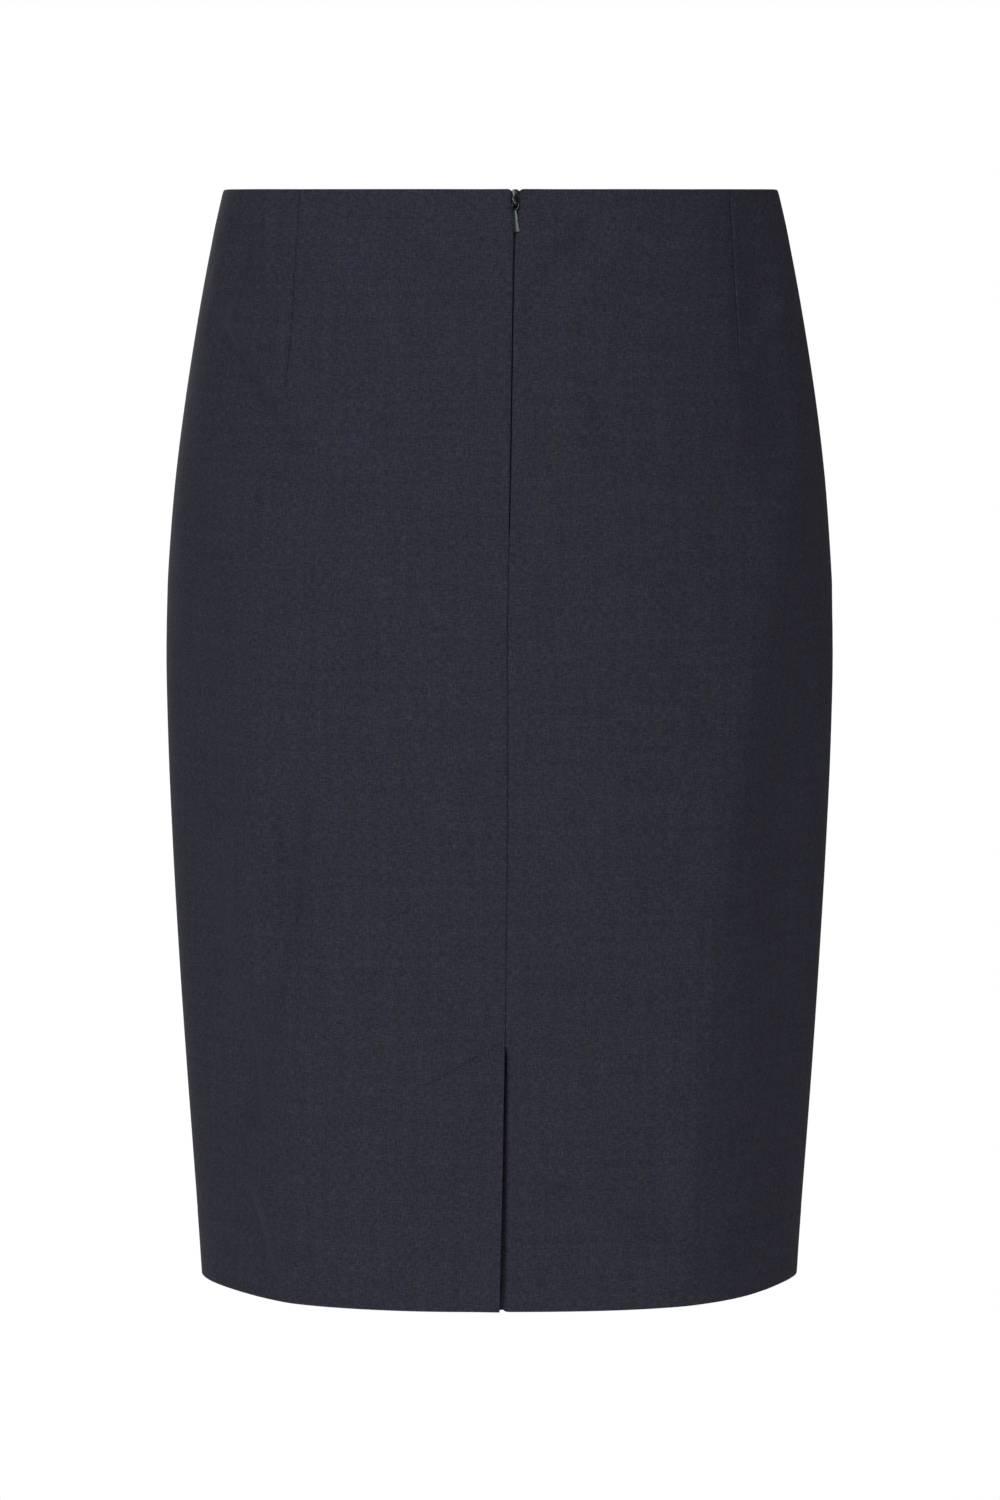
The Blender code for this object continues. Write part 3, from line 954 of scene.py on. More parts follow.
@dataclass
class ClothGrid:
    """A panel laid out on the form: rows run down, columns run anticlockwise seen from above.

    points are its places on the form, level the level directions straight out of it there, and
    the three distances run along the cloth: from the panel's first edge, to its last one, and
    from its dart's line. present tells which cells have cloth.
    """

    points: np.ndarray
    level: np.ndarray
    drop: np.ndarray
    from_start: np.ndarray
    from_end: np.ndarray
    from_dart: np.ndarray
    present: np.ndarray

    def normals(self) -> np.ndarray:
        """The outward direction of the form at every point.

        Returns:
            The directions, in rows and columns.
        """
        down = np.gradient(self.points, axis=0)
        flat = np.cross(np.array([0.0, 0.0, 1.0]), self.level)
        out = np.cross(down, flat)
        return out / np.linalg.norm(out, axis=2)[:, :, None]

    def turned_round(self) -> ClothGrid:
        """The layout with its columns in the opposite order."""
        return ClothGrid(*(getattr(self, part.name)[:, ::-1] for part in fields(self)))

    def beside(self, other: ClothGrid) -> ClothGrid:
        """This layout and, on the same rows, another one after it."""
        pairs = ([getattr(self, part.name), getattr(other, part.name)] for part in fields(self))
        return ClothGrid(*(np.concatenate(pair, axis=1) for pair in pairs))


@dataclass(frozen=True)
class ClothSizes:
    """The thicknesses and turnings of the suiting, and the small relief that they give it."""

    thickness: float = 0.0008
    round: float = 0.00040
    waist_turn: float = 0.028
    waist_roll: float = 0.0015
    waist_roll_depth: float = 0.00085
    waist_crease: Ridge = Ridge(-0.00010, 0.0006)
    waist_turning: Ledge = Ledge(0.00010, 0.0020)
    waist_dip_fade: float = 0.020
    front_dip: Ridge = Ridge(0.0010, 0.070)
    side_dip: float = 0.0020
    side_dip_reach: float = 0.005
    side_valley: Ridge = Ridge(-0.00012, 0.0022)
    zip_corner: float = 0.0012
    zip_corner_reach: float = 0.0024
    hem_turn: float = 0.038
    hem_turning: Ledge = Ledge(0.00012, 0.0020)
    hem_caught: Ridge = Ridge(-0.00006, 0.0016)
    allowance: float = 0.014
    turned_layer: float = 0.0006
    row_step: float = 0.0030
    close_row_step: float = 0.0011
    turn_row_step: float = 0.0008
    column_step: float = 0.0029
    close_column_step: float = 0.0012
    edge_columns: tuple[float, ...] = (
        0.0, 0.00005, 0.00012, 0.00022, 0.00034, 0.0005, 0.0008, 0.0013, 0.0020, 0.0030, 0.0044,
    )
    dart_columns: tuple[float, ...] = (0.0, 0.00012, 0.0003, 0.0006, 0.0011, 0.0019)


def spaced(
    length: np.ndarray, near_start: Sequence[float], near_end: Sequence[float], count: int
) -> np.ndarray:
    """Places along a band of each row, close together at its ends and even between them.

    Args:
        length: Each row's band length.
        near_start: Places counted from the start.
        near_end: Places counted back from the end.
        count: How many even steps lie between them.

    Returns:
        One row of places for each length.
    """
    first = np.broadcast_to(np.array(near_start), (len(length), len(near_start)))
    last = length[:, None] - np.array(near_end)[::-1][None, :]
    share = np.linspace(0, 1, count + 1)[1:-1]
    middle = first[:, -1:] + (last[:, :1] - first[:, -1:]) * share[None, :]
    return np.concatenate([first, middle, last], axis=1)


def link(obj: bpy.types.Object) -> bpy.types.Object:
    """Puts an object in the scene."""
    bpy.context.scene.collection.objects.link(obj)
    return obj


def mesh_object(
    name: str,
    points: np.ndarray,
    faces: Sequence[Sequence[int]],
    material: bpy.types.Material,
) -> bpy.types.Object:
    """Makes a smooth-shaded mesh object.

    Args:
        name: The piece's name.
        points: Its vertices.
        faces: Its faces.
        material: Its finish.

    Returns:
        The object.
    """
    mesh = bpy.data.meshes.new(name)
    mesh.from_pydata([tuple(map(float, p)) for p in points], [], [tuple(f) for f in faces])
    mesh.materials.append(material)
    mesh.shade_smooth()
    mesh.set_sharp_from_angle(angle=SHARP_CLOTH)
    return link(bpy.data.objects.new(name, mesh))


def turn_outwards(mesh: bpy.types.Mesh, join: float = 0.0) -> None:
    """Turns a mesh's faces outwards.

    Args:
        mesh: The mesh.
        join: Vertices closer than this are made one first.
    """
    work = bmesh.new()
    work.from_mesh(mesh)
    if join:
        bmesh.ops.remove_doubles(work, verts=work.verts, dist=join)
    bmesh.ops.recalc_face_normals(work, faces=work.faces)
    work.to_mesh(mesh)
    work.free()


class ClothShell:
    """Makes a closed thin shell from a panel's outer and inner surfaces."""

    def __init__(self, outer: np.ndarray, inner: np.ndarray, present: np.ndarray) -> None:
        """Numbers the vertices; the two surfaces share those along the panel's edges.

        Args:
            outer: The outer surface's points, in rows and columns.
            inner: The inner surface's points.
            present: Which cells have cloth.
        """
        self.present = present
        rows, columns = outer.shape[:2]
        around = np.zeros((rows + 1, columns + 1), bool)
        around[1:-1, 1:-1] = present
        corners = [around[:-1, :-1], around[:-1, 1:], around[1:, :-1], around[1:, 1:]]
        used = np.logical_or.reduce(corners)
        inside = np.logical_and.reduce(corners)
        self.outer_index = np.where(used, np.cumsum(used.ravel()).reshape(used.shape) - 1, -1)
        count = int(used.sum())
        behind = np.cumsum(inside.ravel()).reshape(used.shape) - 1 + count
        self.inner_index = np.where(inside, behind, self.outer_index)
        shared = (outer + inner) / 2
        front = np.where(inside[:, :, None], outer, shared)
        self.points = np.concatenate([front[used], inner[inside]])

    def build(self, name: str, grain: np.ndarray, material: bpy.types.Material) -> bpy.types.Object:
        """Makes the object, with its grain map and a map for baking.

        Args:
            name: The piece's name.
            grain: Each grid point's place along and across the cloth, in metres.
            material: The cloth's finish.

        Returns:
            The object.
        """
        row, column = np.nonzero(self.present)
        corners = [(row, column), (row + 1, column), (row + 1, column + 1), (row, column + 1)]
        out = np.stack([self.outer_index[c] for c in corners], axis=1)
        back = np.stack([self.inner_index[c] for c in reversed(corners)], axis=1)
        obj = mesh_object(name, self.points, np.concatenate([out, back]), material)
        flat = np.concatenate(
            [np.stack([grain[c] for c in order], axis=1) for order in (corners, corners[::-1])]
        )
        low, high = grain.reshape(-1, 2).min(0), grain.reshape(-1, 2).max(0)
        share = (flat - low) / (high - low)
        packed = share * (np.array([0.5, 1.0]) - 2 * MAP_MARGIN) + MAP_MARGIN
        packed[len(out) :, :, 0] += 0.5
        self._map(obj.data, BAKE_MAP, packed)
        self._map(obj.data, GRAIN_MAP, flat)
        return obj

    @staticmethod
    def _map(mesh: bpy.types.Mesh, name: str, places: np.ndarray) -> None:
        """Writes one map, a place for each corner of each face."""
        layer = mesh.uv_layers.new(name=name)
        layer.uv.foreach_set("vector", places.astype(np.float32).ravel())


def rounded_shell(
    name: str,
    grid: ClothGrid,
    lift: np.ndarray,
    thick: np.ndarray,
    edges: Sequence[np.ndarray],
    grain: np.ndarray,
    material: bpy.types.Material,
    radius: float,
) -> bpy.types.Object:
    """Turns a layout and its relief into a closed shell with rounded edges.

    Args:
        name: The piece's name.
        grid: Its layout.
        lift: How far the outer surface stands off the form.
        thick: The cloth's thickness.
        edges: Distances from each cut or folded edge.
        grain: The grain map's places.
        material: The cloth's finish.
        radius: How far from an edge its rounding starts.

    Returns:
        The object.
    """
    turn = rounded(np.minimum.reduce(edges), radius)
    out = lift - radius * turn
    back = lift - thick + (thick - radius) * turn
    normals = grid.normals()
    outer = grid.points + normals * out[:, :, None]
    inner = grid.points + normals * back[:, :, None]
    return ClothShell(outer, inner, grid.present).build(name, grain, material)


class Panel:
    """What the three cloth panels share: the layout on the form, the relief and the shell."""

    def __init__(self, form: SkirtForm, sizes: ClothSizes, dart: Dart) -> None:
        """Keeps the sizes that the panel is made from.

        Args:
            form: The form that it follows.
            sizes: The cloth's sizes.
            dart: Its dart.
        """
        self.form = form
        self.sizes = sizes
        self.dart = dart

    def rows(self, close: tuple[float, float] | None = None) -> np.ndarray:
        """The drops of the rows.

        Args:
            close: A stretch of drops whose rows lie closer together.

        Returns:
            The drops, from the waist edge to the hem.
        """
        sizes, length = self.sizes, self.form.length
        hem, waist, step = length - sizes.hem_turn, sizes.waist_turn, sizes.turn_row_step
        edge = np.array(sizes.edge_columns)
        wanted = [edge, length - edge, [hem - step / 2, hem + step / 2, waist, waist + step]]
        start, gap = edge[-1], sizes.row_step
        even = np.arange(start + gap, length - start - gap / 2, gap)
        if close:
            even = even[(even < close[0]) | (even > close[1])]
            wanted.append(np.arange(*close, sizes.close_row_step))
        # Even rows that would crowd those at the turnings' edges are left out.
        even = even[(np.abs(even - hem) > MM) & (np.abs(even - waist) > 1.5 * MM)]
        return np.unique(np.concatenate([even, *wanted]).round(6))

    @staticmethod
    def on_outline(dense: np.ndarray, places: np.ndarray) -> np.ndarray:
        """Points at given lengths along dense outline points."""
        length = run_along(dense)
        return np.stack([np.interp(places, length, dense[:, k]) for k in range(3)], axis=1)

    def half_layout(
        self,
        drops: np.ndarray,
        outlines: Sequence[np.ndarray],
        near_centre: Sequence[float],
    ) -> ClothGrid:
        """Lays half a panel out from the centre line to the side seam.

        Args:
            drops: The rows' drops.
            outlines: The rows' outlines, from the centre to the side.
            near_centre: Distances from the centre where columns lie close together.

        Returns:
            The layout, with its columns counted from the centre.
        """
        sizes = self.sizes
        lengths = np.array([run_along(outline)[-1] for outline in outlines])
        dart = self.dart.places(drops, lengths, outlines)
        count = int((dart.mean() - near_centre[-1]) / sizes.column_step)
        first = spaced(dart, near_centre, sizes.dart_columns, count)
        count = int((lengths - dart).mean() / sizes.column_step)
        second = spaced(lengths - dart, sizes.dart_columns, sizes.edge_columns, count)
        places = np.concatenate([first, dart[:, None] + second[:, 1:]], axis=1)
        points = np.stack([self.on_outline(o, p) for o, p in zip(outlines, places)])
        level = np.stack(
            [self.form.level_normals(self.form.section(d), p) for d, p in zip(drops, points)]
        )
        return ClothGrid(
            points=points,
            level=level,
            drop=np.broadcast_to(drops[:, None], places.shape).copy(),
            from_start=places,
            from_end=lengths[:, None] - places,
            from_dart=places - dart[:, None],
            present=np.ones((len(drops) - 1, places.shape[1] - 1), bool),
        )

    def common_relief(self, grid: ClothGrid) -> np.ndarray:
        """The relief that every panel has: folds, waist edge, hem, dart and side seam.

        Args:
            grid: The panel's layout.

        Returns:
            The lift at every point.
        """
        return (
            form_relief(self.form, grid.points)
            + self.waist_relief(grid)
            + self.hem_relief(grid)
            + self.dart.relief(grid.from_dart, grid.drop)
            + self.sizes.side_valley.at(grid.from_end)
        )

    def waist_relief(self, grid: ClothGrid) -> np.ndarray:
        """The turned waist edge: it rolls inwards at the top, over its own turning.

        Args:
            grid: The panel's layout.

        Returns:
            The lift at every point.
        """
        sizes = self.sizes
        roll = -sizes.waist_roll_depth * rounded(grid.drop, sizes.waist_roll)
        crease = sizes.waist_crease.at(grid.drop - sizes.waist_roll)
        return roll + crease + sizes.waist_turning.at(grid.drop - sizes.waist_turn)

    def hem_relief(self, grid: ClothGrid) -> np.ndarray:
        """The pressed hem: a faint swell over its turning and a line where it is caught up."""
        past_turn = self.form.length - grid.drop - self.sizes.hem_turn
        return self.sizes.hem_turning.at(past_turn) + self.sizes.hem_caught.at(past_turn)

    def layers(self, grid: ClothGrid, sewn: Sequence[np.ndarray]) -> np.ndarray:
        """How thick the cloth is with its turnings.

        Args:
            grid: The panel's layout.
            sewn: Distances from the edges that have allowances.

        Returns:
            The thickness at every point.
        """
        sizes = self.sizes
        turned = grid.drop < sizes.waist_turn + 0.2 * MM
        turned |= grid.drop > self.form.length - sizes.hem_turn
        for away in sewn:
            turned |= away < sizes.allowance
        return sizes.thickness + sizes.turned_layer * turned

    def sink_waist(self, grid: ClothGrid, zip_distance: np.ndarray | None) -> None:
        """Lowers the waist edge at the side seams and the middle of the front.

        Args:
            grid: The panel's layout, whose points are moved.
            zip_distance: Distances from the zip, where its corner is rounded.
        """
        sizes = self.sizes
        fade = np.clip(1 - grid.drop / sizes.waist_dip_fade, 0, 1)
        dip = sizes.side_dip / (1 + (grid.points[:, :, 1] / sizes.side_dip_reach) ** 2)
        if zip_distance is None:
            dip = dip + sizes.front_dip.at(grid.points[:, :, 0])
        else:
            dip = dip + sizes.zip_corner * rounded(zip_distance, sizes.zip_corner_reach)
        grid.points[:, :, 2] -= fade * dip

    def edges(self, grid: ClothGrid) -> list[np.ndarray]:
        """Distances from the panel's four edges."""
        return [grid.from_start, grid.from_end, grid.drop, self.form.length - grid.drop]


class FrontPanel(Panel):
    """The front, cut in one piece with two darts."""

    name = "front_cloth"

    def layout(self) -> ClothGrid:
        """Lays the panel out from the right side seam round the front to the left one.

        Returns:
            The layout.
        """
        drops = self.rows()
        sections = [self.form.section(drop) for drop in drops]
        outlines = [self.form.outline(section, math.pi / 2, math.pi) for section in sections]
        half = self.half_layout(drops, outlines, (0.0,))
        mirror = np.array([-1.0, 1.0, 1.0])

        def whole(array: np.ndarray, factor: np.ndarray | float = 1.0) -> np.ndarray:
            """Both halves of an array: the left one's times a factor, turned round, and itself."""
            return np.concatenate([array[:, :0:-1] * factor, array], axis=1)

        wide = half.from_start[:, -1:]
        across = whole(half.from_start, -1.0) + wide
        return ClothGrid(
            points=whole(half.points, mirror),
            level=whole(half.level, mirror),
            drop=whole(half.drop),
            from_start=across,
            from_end=2 * wide - across,
            from_dart=whole(half.from_dart),
            present=np.ones((len(drops) - 1, across.shape[1] - 1), bool),
        )

    def build(self, finishes: Finishes) -> bpy.types.Object:
        """Makes the panel.

        Args:
            finishes: The finishes.

        Returns:
            The piece.
        """
        grid = self.layout()
        self.sink_waist(grid, None)
        lift = self.common_relief(grid) + self.sizes.side_valley.at(grid.from_start)
        thick = self.layers(grid, (grid.from_start, grid.from_end))
        middle = (grid.from_start + grid.from_end) / 2
        grain = np.stack([grid.from_start - middle, -grid.drop], axis=2)
        edges = self.edges(grid)
        return rounded_shell(
            self.name, grid, lift, thick, edges, grain, finishes.suiting, self.sizes.round
        )


@dataclass(frozen=True)
class VentSizes:
    """The vent: its top, the underlap below the left back and the stitching across it.

    sunk and slit are how far the right back drops at its edge beside the vent, and lap is how
    the left back's edge stands up on it.
    """

    top: float = 0.455
    opening: float = 0.006
    facing: float = 0.040
    facing_above: float = 0.005
    underlap: float = 0.041
    underlap_sunk: float = 0.0004
    underlap_slit_reach: float = 0.004
    underlap_margin: float = 0.004
    underlap_step: float = 0.0024
    top_slope: float = 0.016
    sunk: float = 0.0021
    sunk_reach: float = 0.0019
    slit: float = 0.0035
    slit_reach: float = 0.00065
    lap: Ridge = Ridge(0.00110, 0.010)
    stitch_inset: float = 0.002
    stitch_above: float = 0.001
    stitch_slope: float = 0.022
    stitch_pitch: float = 0.0020
    pucker: Ridge = Ridge(0.00095, 0.00095)
    # How far past the vent's own lines the rows and columns stay close together.
    close_margin: float = 0.006
    left_margin: float = 0.005
    right_margin: float = 0.012

    def opened(self, drop: np.ndarray) -> np.ndarray:
        """How far the vent has opened at a drop: 0 at its top and 1 a little below."""
        return np.clip((drop - self.top) / self.opening, 0, 1)


@dataclass(frozen=True)
class CentreBackRelief:
    """The small relief beside the centre back: at the zip, and at the sewn seam below it."""

    zip_end: float = 0.183
    change: float = 0.0015
    over_tape: Ledge = Ledge(0.00018, 0.0012, 0.0125)
    folded_edge: Ridge = Ridge(0.00022, 0.0016, 0.0022)
    zip_edge: Ridge = Ridge(-0.00015, 0.0009)
    valley: Ridge = Ridge(-0.00022, 0.0032)
    stitch_line: float = -0.00046
    stitch_line_width: float = 0.0005
    pressed: Ledge = Ledge(0.00008, 0.0015)


class BackPanel(Panel):
    """One half of the back, laid out from the centre back to the side seam."""

    centre_back = CentreBackRelief()

    def __init__(
        self, form: SkirtForm, sizes: ClothSizes, dart: Dart, vent: VentSizes, side: int
    ) -> None:
        """Keeps the sizes; side is -1 for the wearer's left and 1 for the right.

        Args:
            form: The form that it follows.
            sizes: The cloth's sizes.
            dart: Its dart.
            vent: The vent's sizes.
            side: -1 for the wearer's left and 1 for the right.
        """
        super().__init__(form, sizes, dart)
        self.vent = vent
        self.side = side

    def centre_x(self, drop: float) -> float:
        """Where the panel's centre back edge stands."""
        return float(self.form.seam_x(drop)[0]) + self.side * self.form.gap(drop) / 2

    def layout(self, drops: np.ndarray, close_reach: float) -> ClothGrid:
        """Lays the panel out from its centre back edge to its side seam.

        Args:
            drops: The rows.
            close_reach: How far from the centre its columns lie closer together.

        Returns:
            The layout, with columns counted from the centre.
        """
        side_seam = 0.0 if self.side > 0 else -math.pi
        outlines = []
        for drop in drops:
            section = self.form.section(drop)
            centre = self.form.angle_over(section, self.centre_x(drop))
            outlines.append(self.form.outline(section, -centre, side_seam))
        columns, step = self.sizes.edge_columns, self.sizes.close_column_step
        close = np.arange(columns[-1] + step, close_reach, step)
        return self.half_layout(drops, outlines, np.concatenate([columns, close]))

    def centre_relief(self, grid: ClothGrid) -> np.ndarray:
        """The centre back: folded zip edges above, and a sewn seam in a slight valley below.

        Args:
            grid: The panel's layout.

        Returns:
            The lift at every point.
        """
        sizes, away, drop = self.centre_back, grid.from_start, grid.drop
        at_zip = Ledge(1.0, sizes.change, sizes.zip_end).at(drop)
        at_seam = (1 - at_zip) * Ledge(1.0, sizes.change, self.vent.top).at(drop)
        beside_zip = sizes.over_tape.at(away) + sizes.folded_edge.at(away) + sizes.zip_edge.at(away)
        stitch_line = sizes.stitch_line * np.exp(-away / sizes.stitch_line_width)
        pressed = sizes.pressed.at(away - self.sizes.allowance)
        return at_zip * beside_zip + at_seam * (sizes.valley.at(away) + stitch_line + pressed)

    def grain(self, grid: ClothGrid) -> np.ndarray:
        """The grain map, counted from the centre back."""
        return np.stack([self.side * grid.from_start, -grid.drop], axis=2)


class LeftBack(BackPanel):
    """The wearer's left back, whose pressed edge lies on top at the vent."""

    name = "back_left_cloth"

    def stitch_places(self) -> list[tuple[float, float]]:
        """Where the slanting row across the vent's top is caught: (distance out, drop).

        Returns:
            The places, from the centre back outwards.
        """
        vent = self.vent
        count = int(math.hypot(vent.underlap, vent.stitch_slope) / vent.stitch_pitch)
        run, top = vent.underlap - vent.stitch_inset, vent.top - vent.stitch_above
        return [
            (vent.stitch_inset + run * i / count, top + vent.stitch_slope * i / count)
            for i in range(count + 1)
        ]

    def build(self, finishes: Finishes) -> bpy.types.Object:
        """Makes the panel.

        Args:
            finishes: The finishes.

        Returns:
            The piece.
        """
        vent = self.vent
        margin = vent.close_margin
        rows = self.rows(close=(vent.top - margin, vent.top + vent.stitch_slope + margin))
        grid = self.layout(rows, close_reach=vent.underlap + vent.left_margin)
        self.sink_waist(grid, grid.from_start)
        lift = self.common_relief(grid) + self.centre_relief(grid)
        for out, drop in self.stitch_places():
            lift -= vent.pucker.at(np.hypot(grid.from_start - out, grid.drop - drop))
        lift += vent.opened(grid.drop) * vent.lap.at(grid.from_start)
        # Beside the vent the facing is wider than a seam's allowance.
        wider = (vent.facing - self.sizes.allowance) * (grid.drop > vent.top - vent.facing_above)
        thick = self.layers(grid, (grid.from_start - wider, grid.from_end))
        lift, thick, *edges = (array[:, ::-1] for array in (lift, thick, *self.edges(grid)))
        grid = grid.turned_round()
        grain = self.grain(grid)
        return rounded_shell(
            self.name, grid, lift, thick, edges, grain, finishes.suiting, self.sizes.round
        )


class RightBack(BackPanel):
    """The wearer's right back, which runs on below the left one as the vent's underlap."""

    name = "back_right_cloth"

    def underlap(self, drops: np.ndarray, first: int) -> ClothGrid:
        """Lays out the underlap, from its free edge to the centre back.

        Args:
            drops: All the panel's rows.
            first: The first row that has an underlap.

        Returns:
            Its layout, on the same rows, with nothing present above the vent.
        """
        vent, length = self.vent, self.form.length
        edge, step = np.array(self.sizes.edge_columns[:-2]), vent.underlap_step
        even = np.arange(vent.underlap - vent.underlap_margin, step / 2, -step)
        out = np.concatenate([vent.underlap - edge, even, [step / 4]])
        shape = (len(drops), len(out))
        points, level = np.zeros((*shape, 3)), np.zeros((*shape, 3))
        top = vent.top + vent.top_slope * out / vent.underlap
        share = np.clip((drops - drops[first]) / (length - drops[first]), 0, 1)
        drop_at = top + (length - top) * share[:, None]
        for row, drop in enumerate(drops):
            centre = self.centre_x(drop)
            points[row] = [self.form.place(Face.BACK, centre - o, drop) for o in out]
            level[row] = self.form.level_normals(self.form.section(drop), points[row])
        points[:, :, 2] = -drop_at
        present = np.ones((len(drops) - 1, len(out)), bool)
        present[:first] = False
        return ClothGrid(
            points=points,
            level=level,
            drop=drop_at,
            from_start=np.broadcast_to(vent.underlap - out, shape).copy(),
            from_end=np.full(shape, 1.0),
            from_dart=np.full(shape, 1.0),
            present=present,
        )

    def build(self, finishes: Finishes) -> bpy.types.Object:
        """Makes the panel and its underlap in one.

        Args:
            finishes: The finishes.

        Returns:
            The piece.
        """
        vent, sizes, length = self.vent, self.sizes, self.form.length
        rows = self.rows(close=(vent.top - vent.close_margin, vent.top + vent.right_margin))
        rows = np.unique(np.append(rows, vent.top))
        first = int(np.searchsorted(rows, vent.top))
        grid = self.layout(rows, close_reach=vent.right_margin)
        self.sink_waist(grid, grid.from_start)
        sink = Ridge(vent.sunk, vent.sunk_reach).at(grid.from_start)
        slit = Ridge(vent.slit, vent.slit_reach).at(grid.from_start)
        lift = self.common_relief(grid) + self.centre_relief(grid)
        lift -= vent.opened(grid.drop) * (sink + slit)

        lap = self.underlap(rows, first)
        to_centre = vent.underlap - lap.from_start
        lap_slit = Ridge(vent.slit, vent.underlap_slit_reach).at(to_centre)
        lap_lift = form_relief(self.form, lap.points) - vent.underlap_sunk
        lap_lift -= vent.opened(lap.drop) * (vent.sunk - vent.underlap_sunk + lap_slit)

        # The panel has no edge of its own where the underlap goes on from it.
        with_lap = (np.arange(len(rows)) >= first)[:, None]
        centre_edge = np.where(with_lap, 1.0, grid.from_start)
        nearest = np.minimum.reduce([centre_edge, *self.edges(grid)[1:]])
        lap_top = np.where(with_lap, lap.drop - lap.drop[first], 0.0)
        lap_nearest = np.minimum.reduce([lap.from_start, length - lap.drop, lap_top])
        thick = self.layers(grid, (grid.from_start, grid.from_end))
        lap_thick = sizes.thickness + sizes.turned_layer * (lap.drop > length - sizes.hem_turn)
        whole = replace(lap, from_start=-to_centre).beside(grid)
        pairs = ((lap_lift, lift), (lap_thick, thick), (lap_nearest, nearest))
        lift, thick, nearest = (np.concatenate(pair, axis=1) for pair in pairs)
        grain = self.grain(whole)
        return rounded_shell(
            self.name, whole, lift, thick, [nearest], grain, finishes.suiting, sizes.round
        )


# ---------------------------------------------------------------------------------------------
# Zip and stitching
# ---------------------------------------------------------------------------------------------


class MeshParts:
    """Gathers many small shapes into one mesh."""

    def __init__(self) -> None:
        """Starts with nothing."""
        self.points: list[np.ndarray] = []
        self.faces: list[tuple[int, ...]] = []
        self.count = 0

    def add(self, points: np.ndarray, faces: Sequence[Sequence[int]]) -> None:
        """Adds a shape.

        Args:
            points: Its vertices.
            faces: Its faces, counted from its own first vertex.
        """
        self.faces += [tuple(index + self.count for index in face) for face in faces]
        self.points.append(np.asarray(points, float))
        self.count += len(points)

    def tube(self, path: np.ndarray, radius: np.ndarray | float, sides: int, ring: bool) -> None:
        """Adds a round bar along a path.

        Args:
            path: Its points.
            radius: Its radius, all along or at each point.
            sides: How many sides it has.
            ring: True where it closes on itself.
        """
        count = len(path)
        if ring:
            run = np.roll(path, -1, axis=0) - np.roll(path, 1, axis=0)
        else:
            run = np.gradient(path, axis=0)
        run /= np.linalg.norm(run, axis=1)[:, None]
        spread = path - path.mean(axis=0)
        flat = np.linalg.svd(spread)[2][2]
        side = np.cross(run, flat)
        side /= np.linalg.norm(side, axis=1)[:, None]
        other = np.cross(run, side)
        angle = np.arange(sides) * 2 * math.pi / sides
        reach = np.broadcast_to(np.asarray(radius, float), (count,))[:, None, None]
        around = (
            side[:, None, :] * np.cos(angle)[None, :, None]
            + other[:, None, :] * np.sin(angle)[None, :, None]
        )
        points = (path[:, None, :] + reach * around).reshape(-1, 3)
        last = count if ring else count - 1
        faces: list[tuple[int, ...]] = []
        for i in range(last):
            for j in range(sides):
                a, b = i * sides, ((i + 1) % count) * sides
                k = (j + 1) % sides
                faces.append((a + j, a + k, b + k, b + j))
        if not ring:
            faces.append(tuple(range(sides))[::-1])
            faces.append(tuple(range((count - 1) * sides, count * sides)))
        self.add(points, faces)

    def build(self, name: str, material: bpy.types.Material) -> bpy.types.Object:
        """Makes the object, with every face turned outwards.

        Args:
            name: The piece's name.
            material: Its finish.

        Returns:
            The piece.
        """
        obj = mesh_object(name, np.concatenate(self.points), self.faces, material)
        turn_outwards(obj.data)
        return obj


def moved(frame: Matrix, points: Sequence[Sequence[float]]) -> np.ndarray:
    """Takes points from a frame to the world."""
    matrix = np.array(frame)
    return np.asarray(points, float) @ matrix[:3, :3].T + matrix[:3, 3]


def rounded_plate(
    name: str,
    outline: Sequence[tuple[float, float]],
    low: float,
    high: float,
    bevel: float,
    frame: Matrix,
    material: bpy.types.Material,
    holes: Sequence[Sequence[tuple[float, float]]] = (),
    edge_on: bool = False,
) -> bpy.types.Object:
    """Makes a plate with softened edges over an outline.

    Args:
        name: The piece's name.
        outline: Points across and up, or inwards and up where it stands edge on.
        low: Where the plate starts, inwards, or across where it stands edge on.
        high: Where it ends.
        bevel: The radius of its edges.
        frame: Where it stands.
        material: Its finish.
        holes: The outlines of holes through it.
        edge_on: True where its outline lies in the plane square to the cloth.

    Returns:
        The object.
    """
    curve = bpy.data.curves.new(name, "CURVE")
    curve.dimensions = "2D"
    curve.fill_mode = "BOTH"
    for loop in (outline, *holes):
        spline = curve.splines.new("POLY")
        spline.points.add(len(loop) - 1)
        spline.points.foreach_set("co", [c for u, v in loop for c in (u, v, 0, 1)])
        spline.use_cyclic_u = True
    curve.extrude = (high - low) / 2 - bevel
    curve.bevel_depth = bevel
    curve.bevel_resolution = 2
    curve.offset = -bevel
    shape = bpy.data.objects.new(name, curve)
    link(shape)
    mesh = bpy.data.meshes.new_from_object(shape)
    bpy.data.objects.remove(shape)
    bpy.data.curves.remove(curve)
    flat = np.empty(len(mesh.vertices) * 3)
    mesh.vertices.foreach_get("co", flat)
    u, v, w = flat.reshape(-1, 3).T
    w = w + (low + high) / 2
    local = np.stack([w, u, v] if edge_on else [u, w, v], axis=1)
    mesh.vertices.foreach_set("co", moved(frame, local).ravel())
    mesh.materials.clear()
    mesh.materials.append(material)
    turn_outwards(mesh, join=0.02 * MM)
    mesh.shade_smooth()
    mesh.set_sharp_from_angle(angle=SHARP_PLATE)
    return link(bpy.data.objects.new(name, mesh))


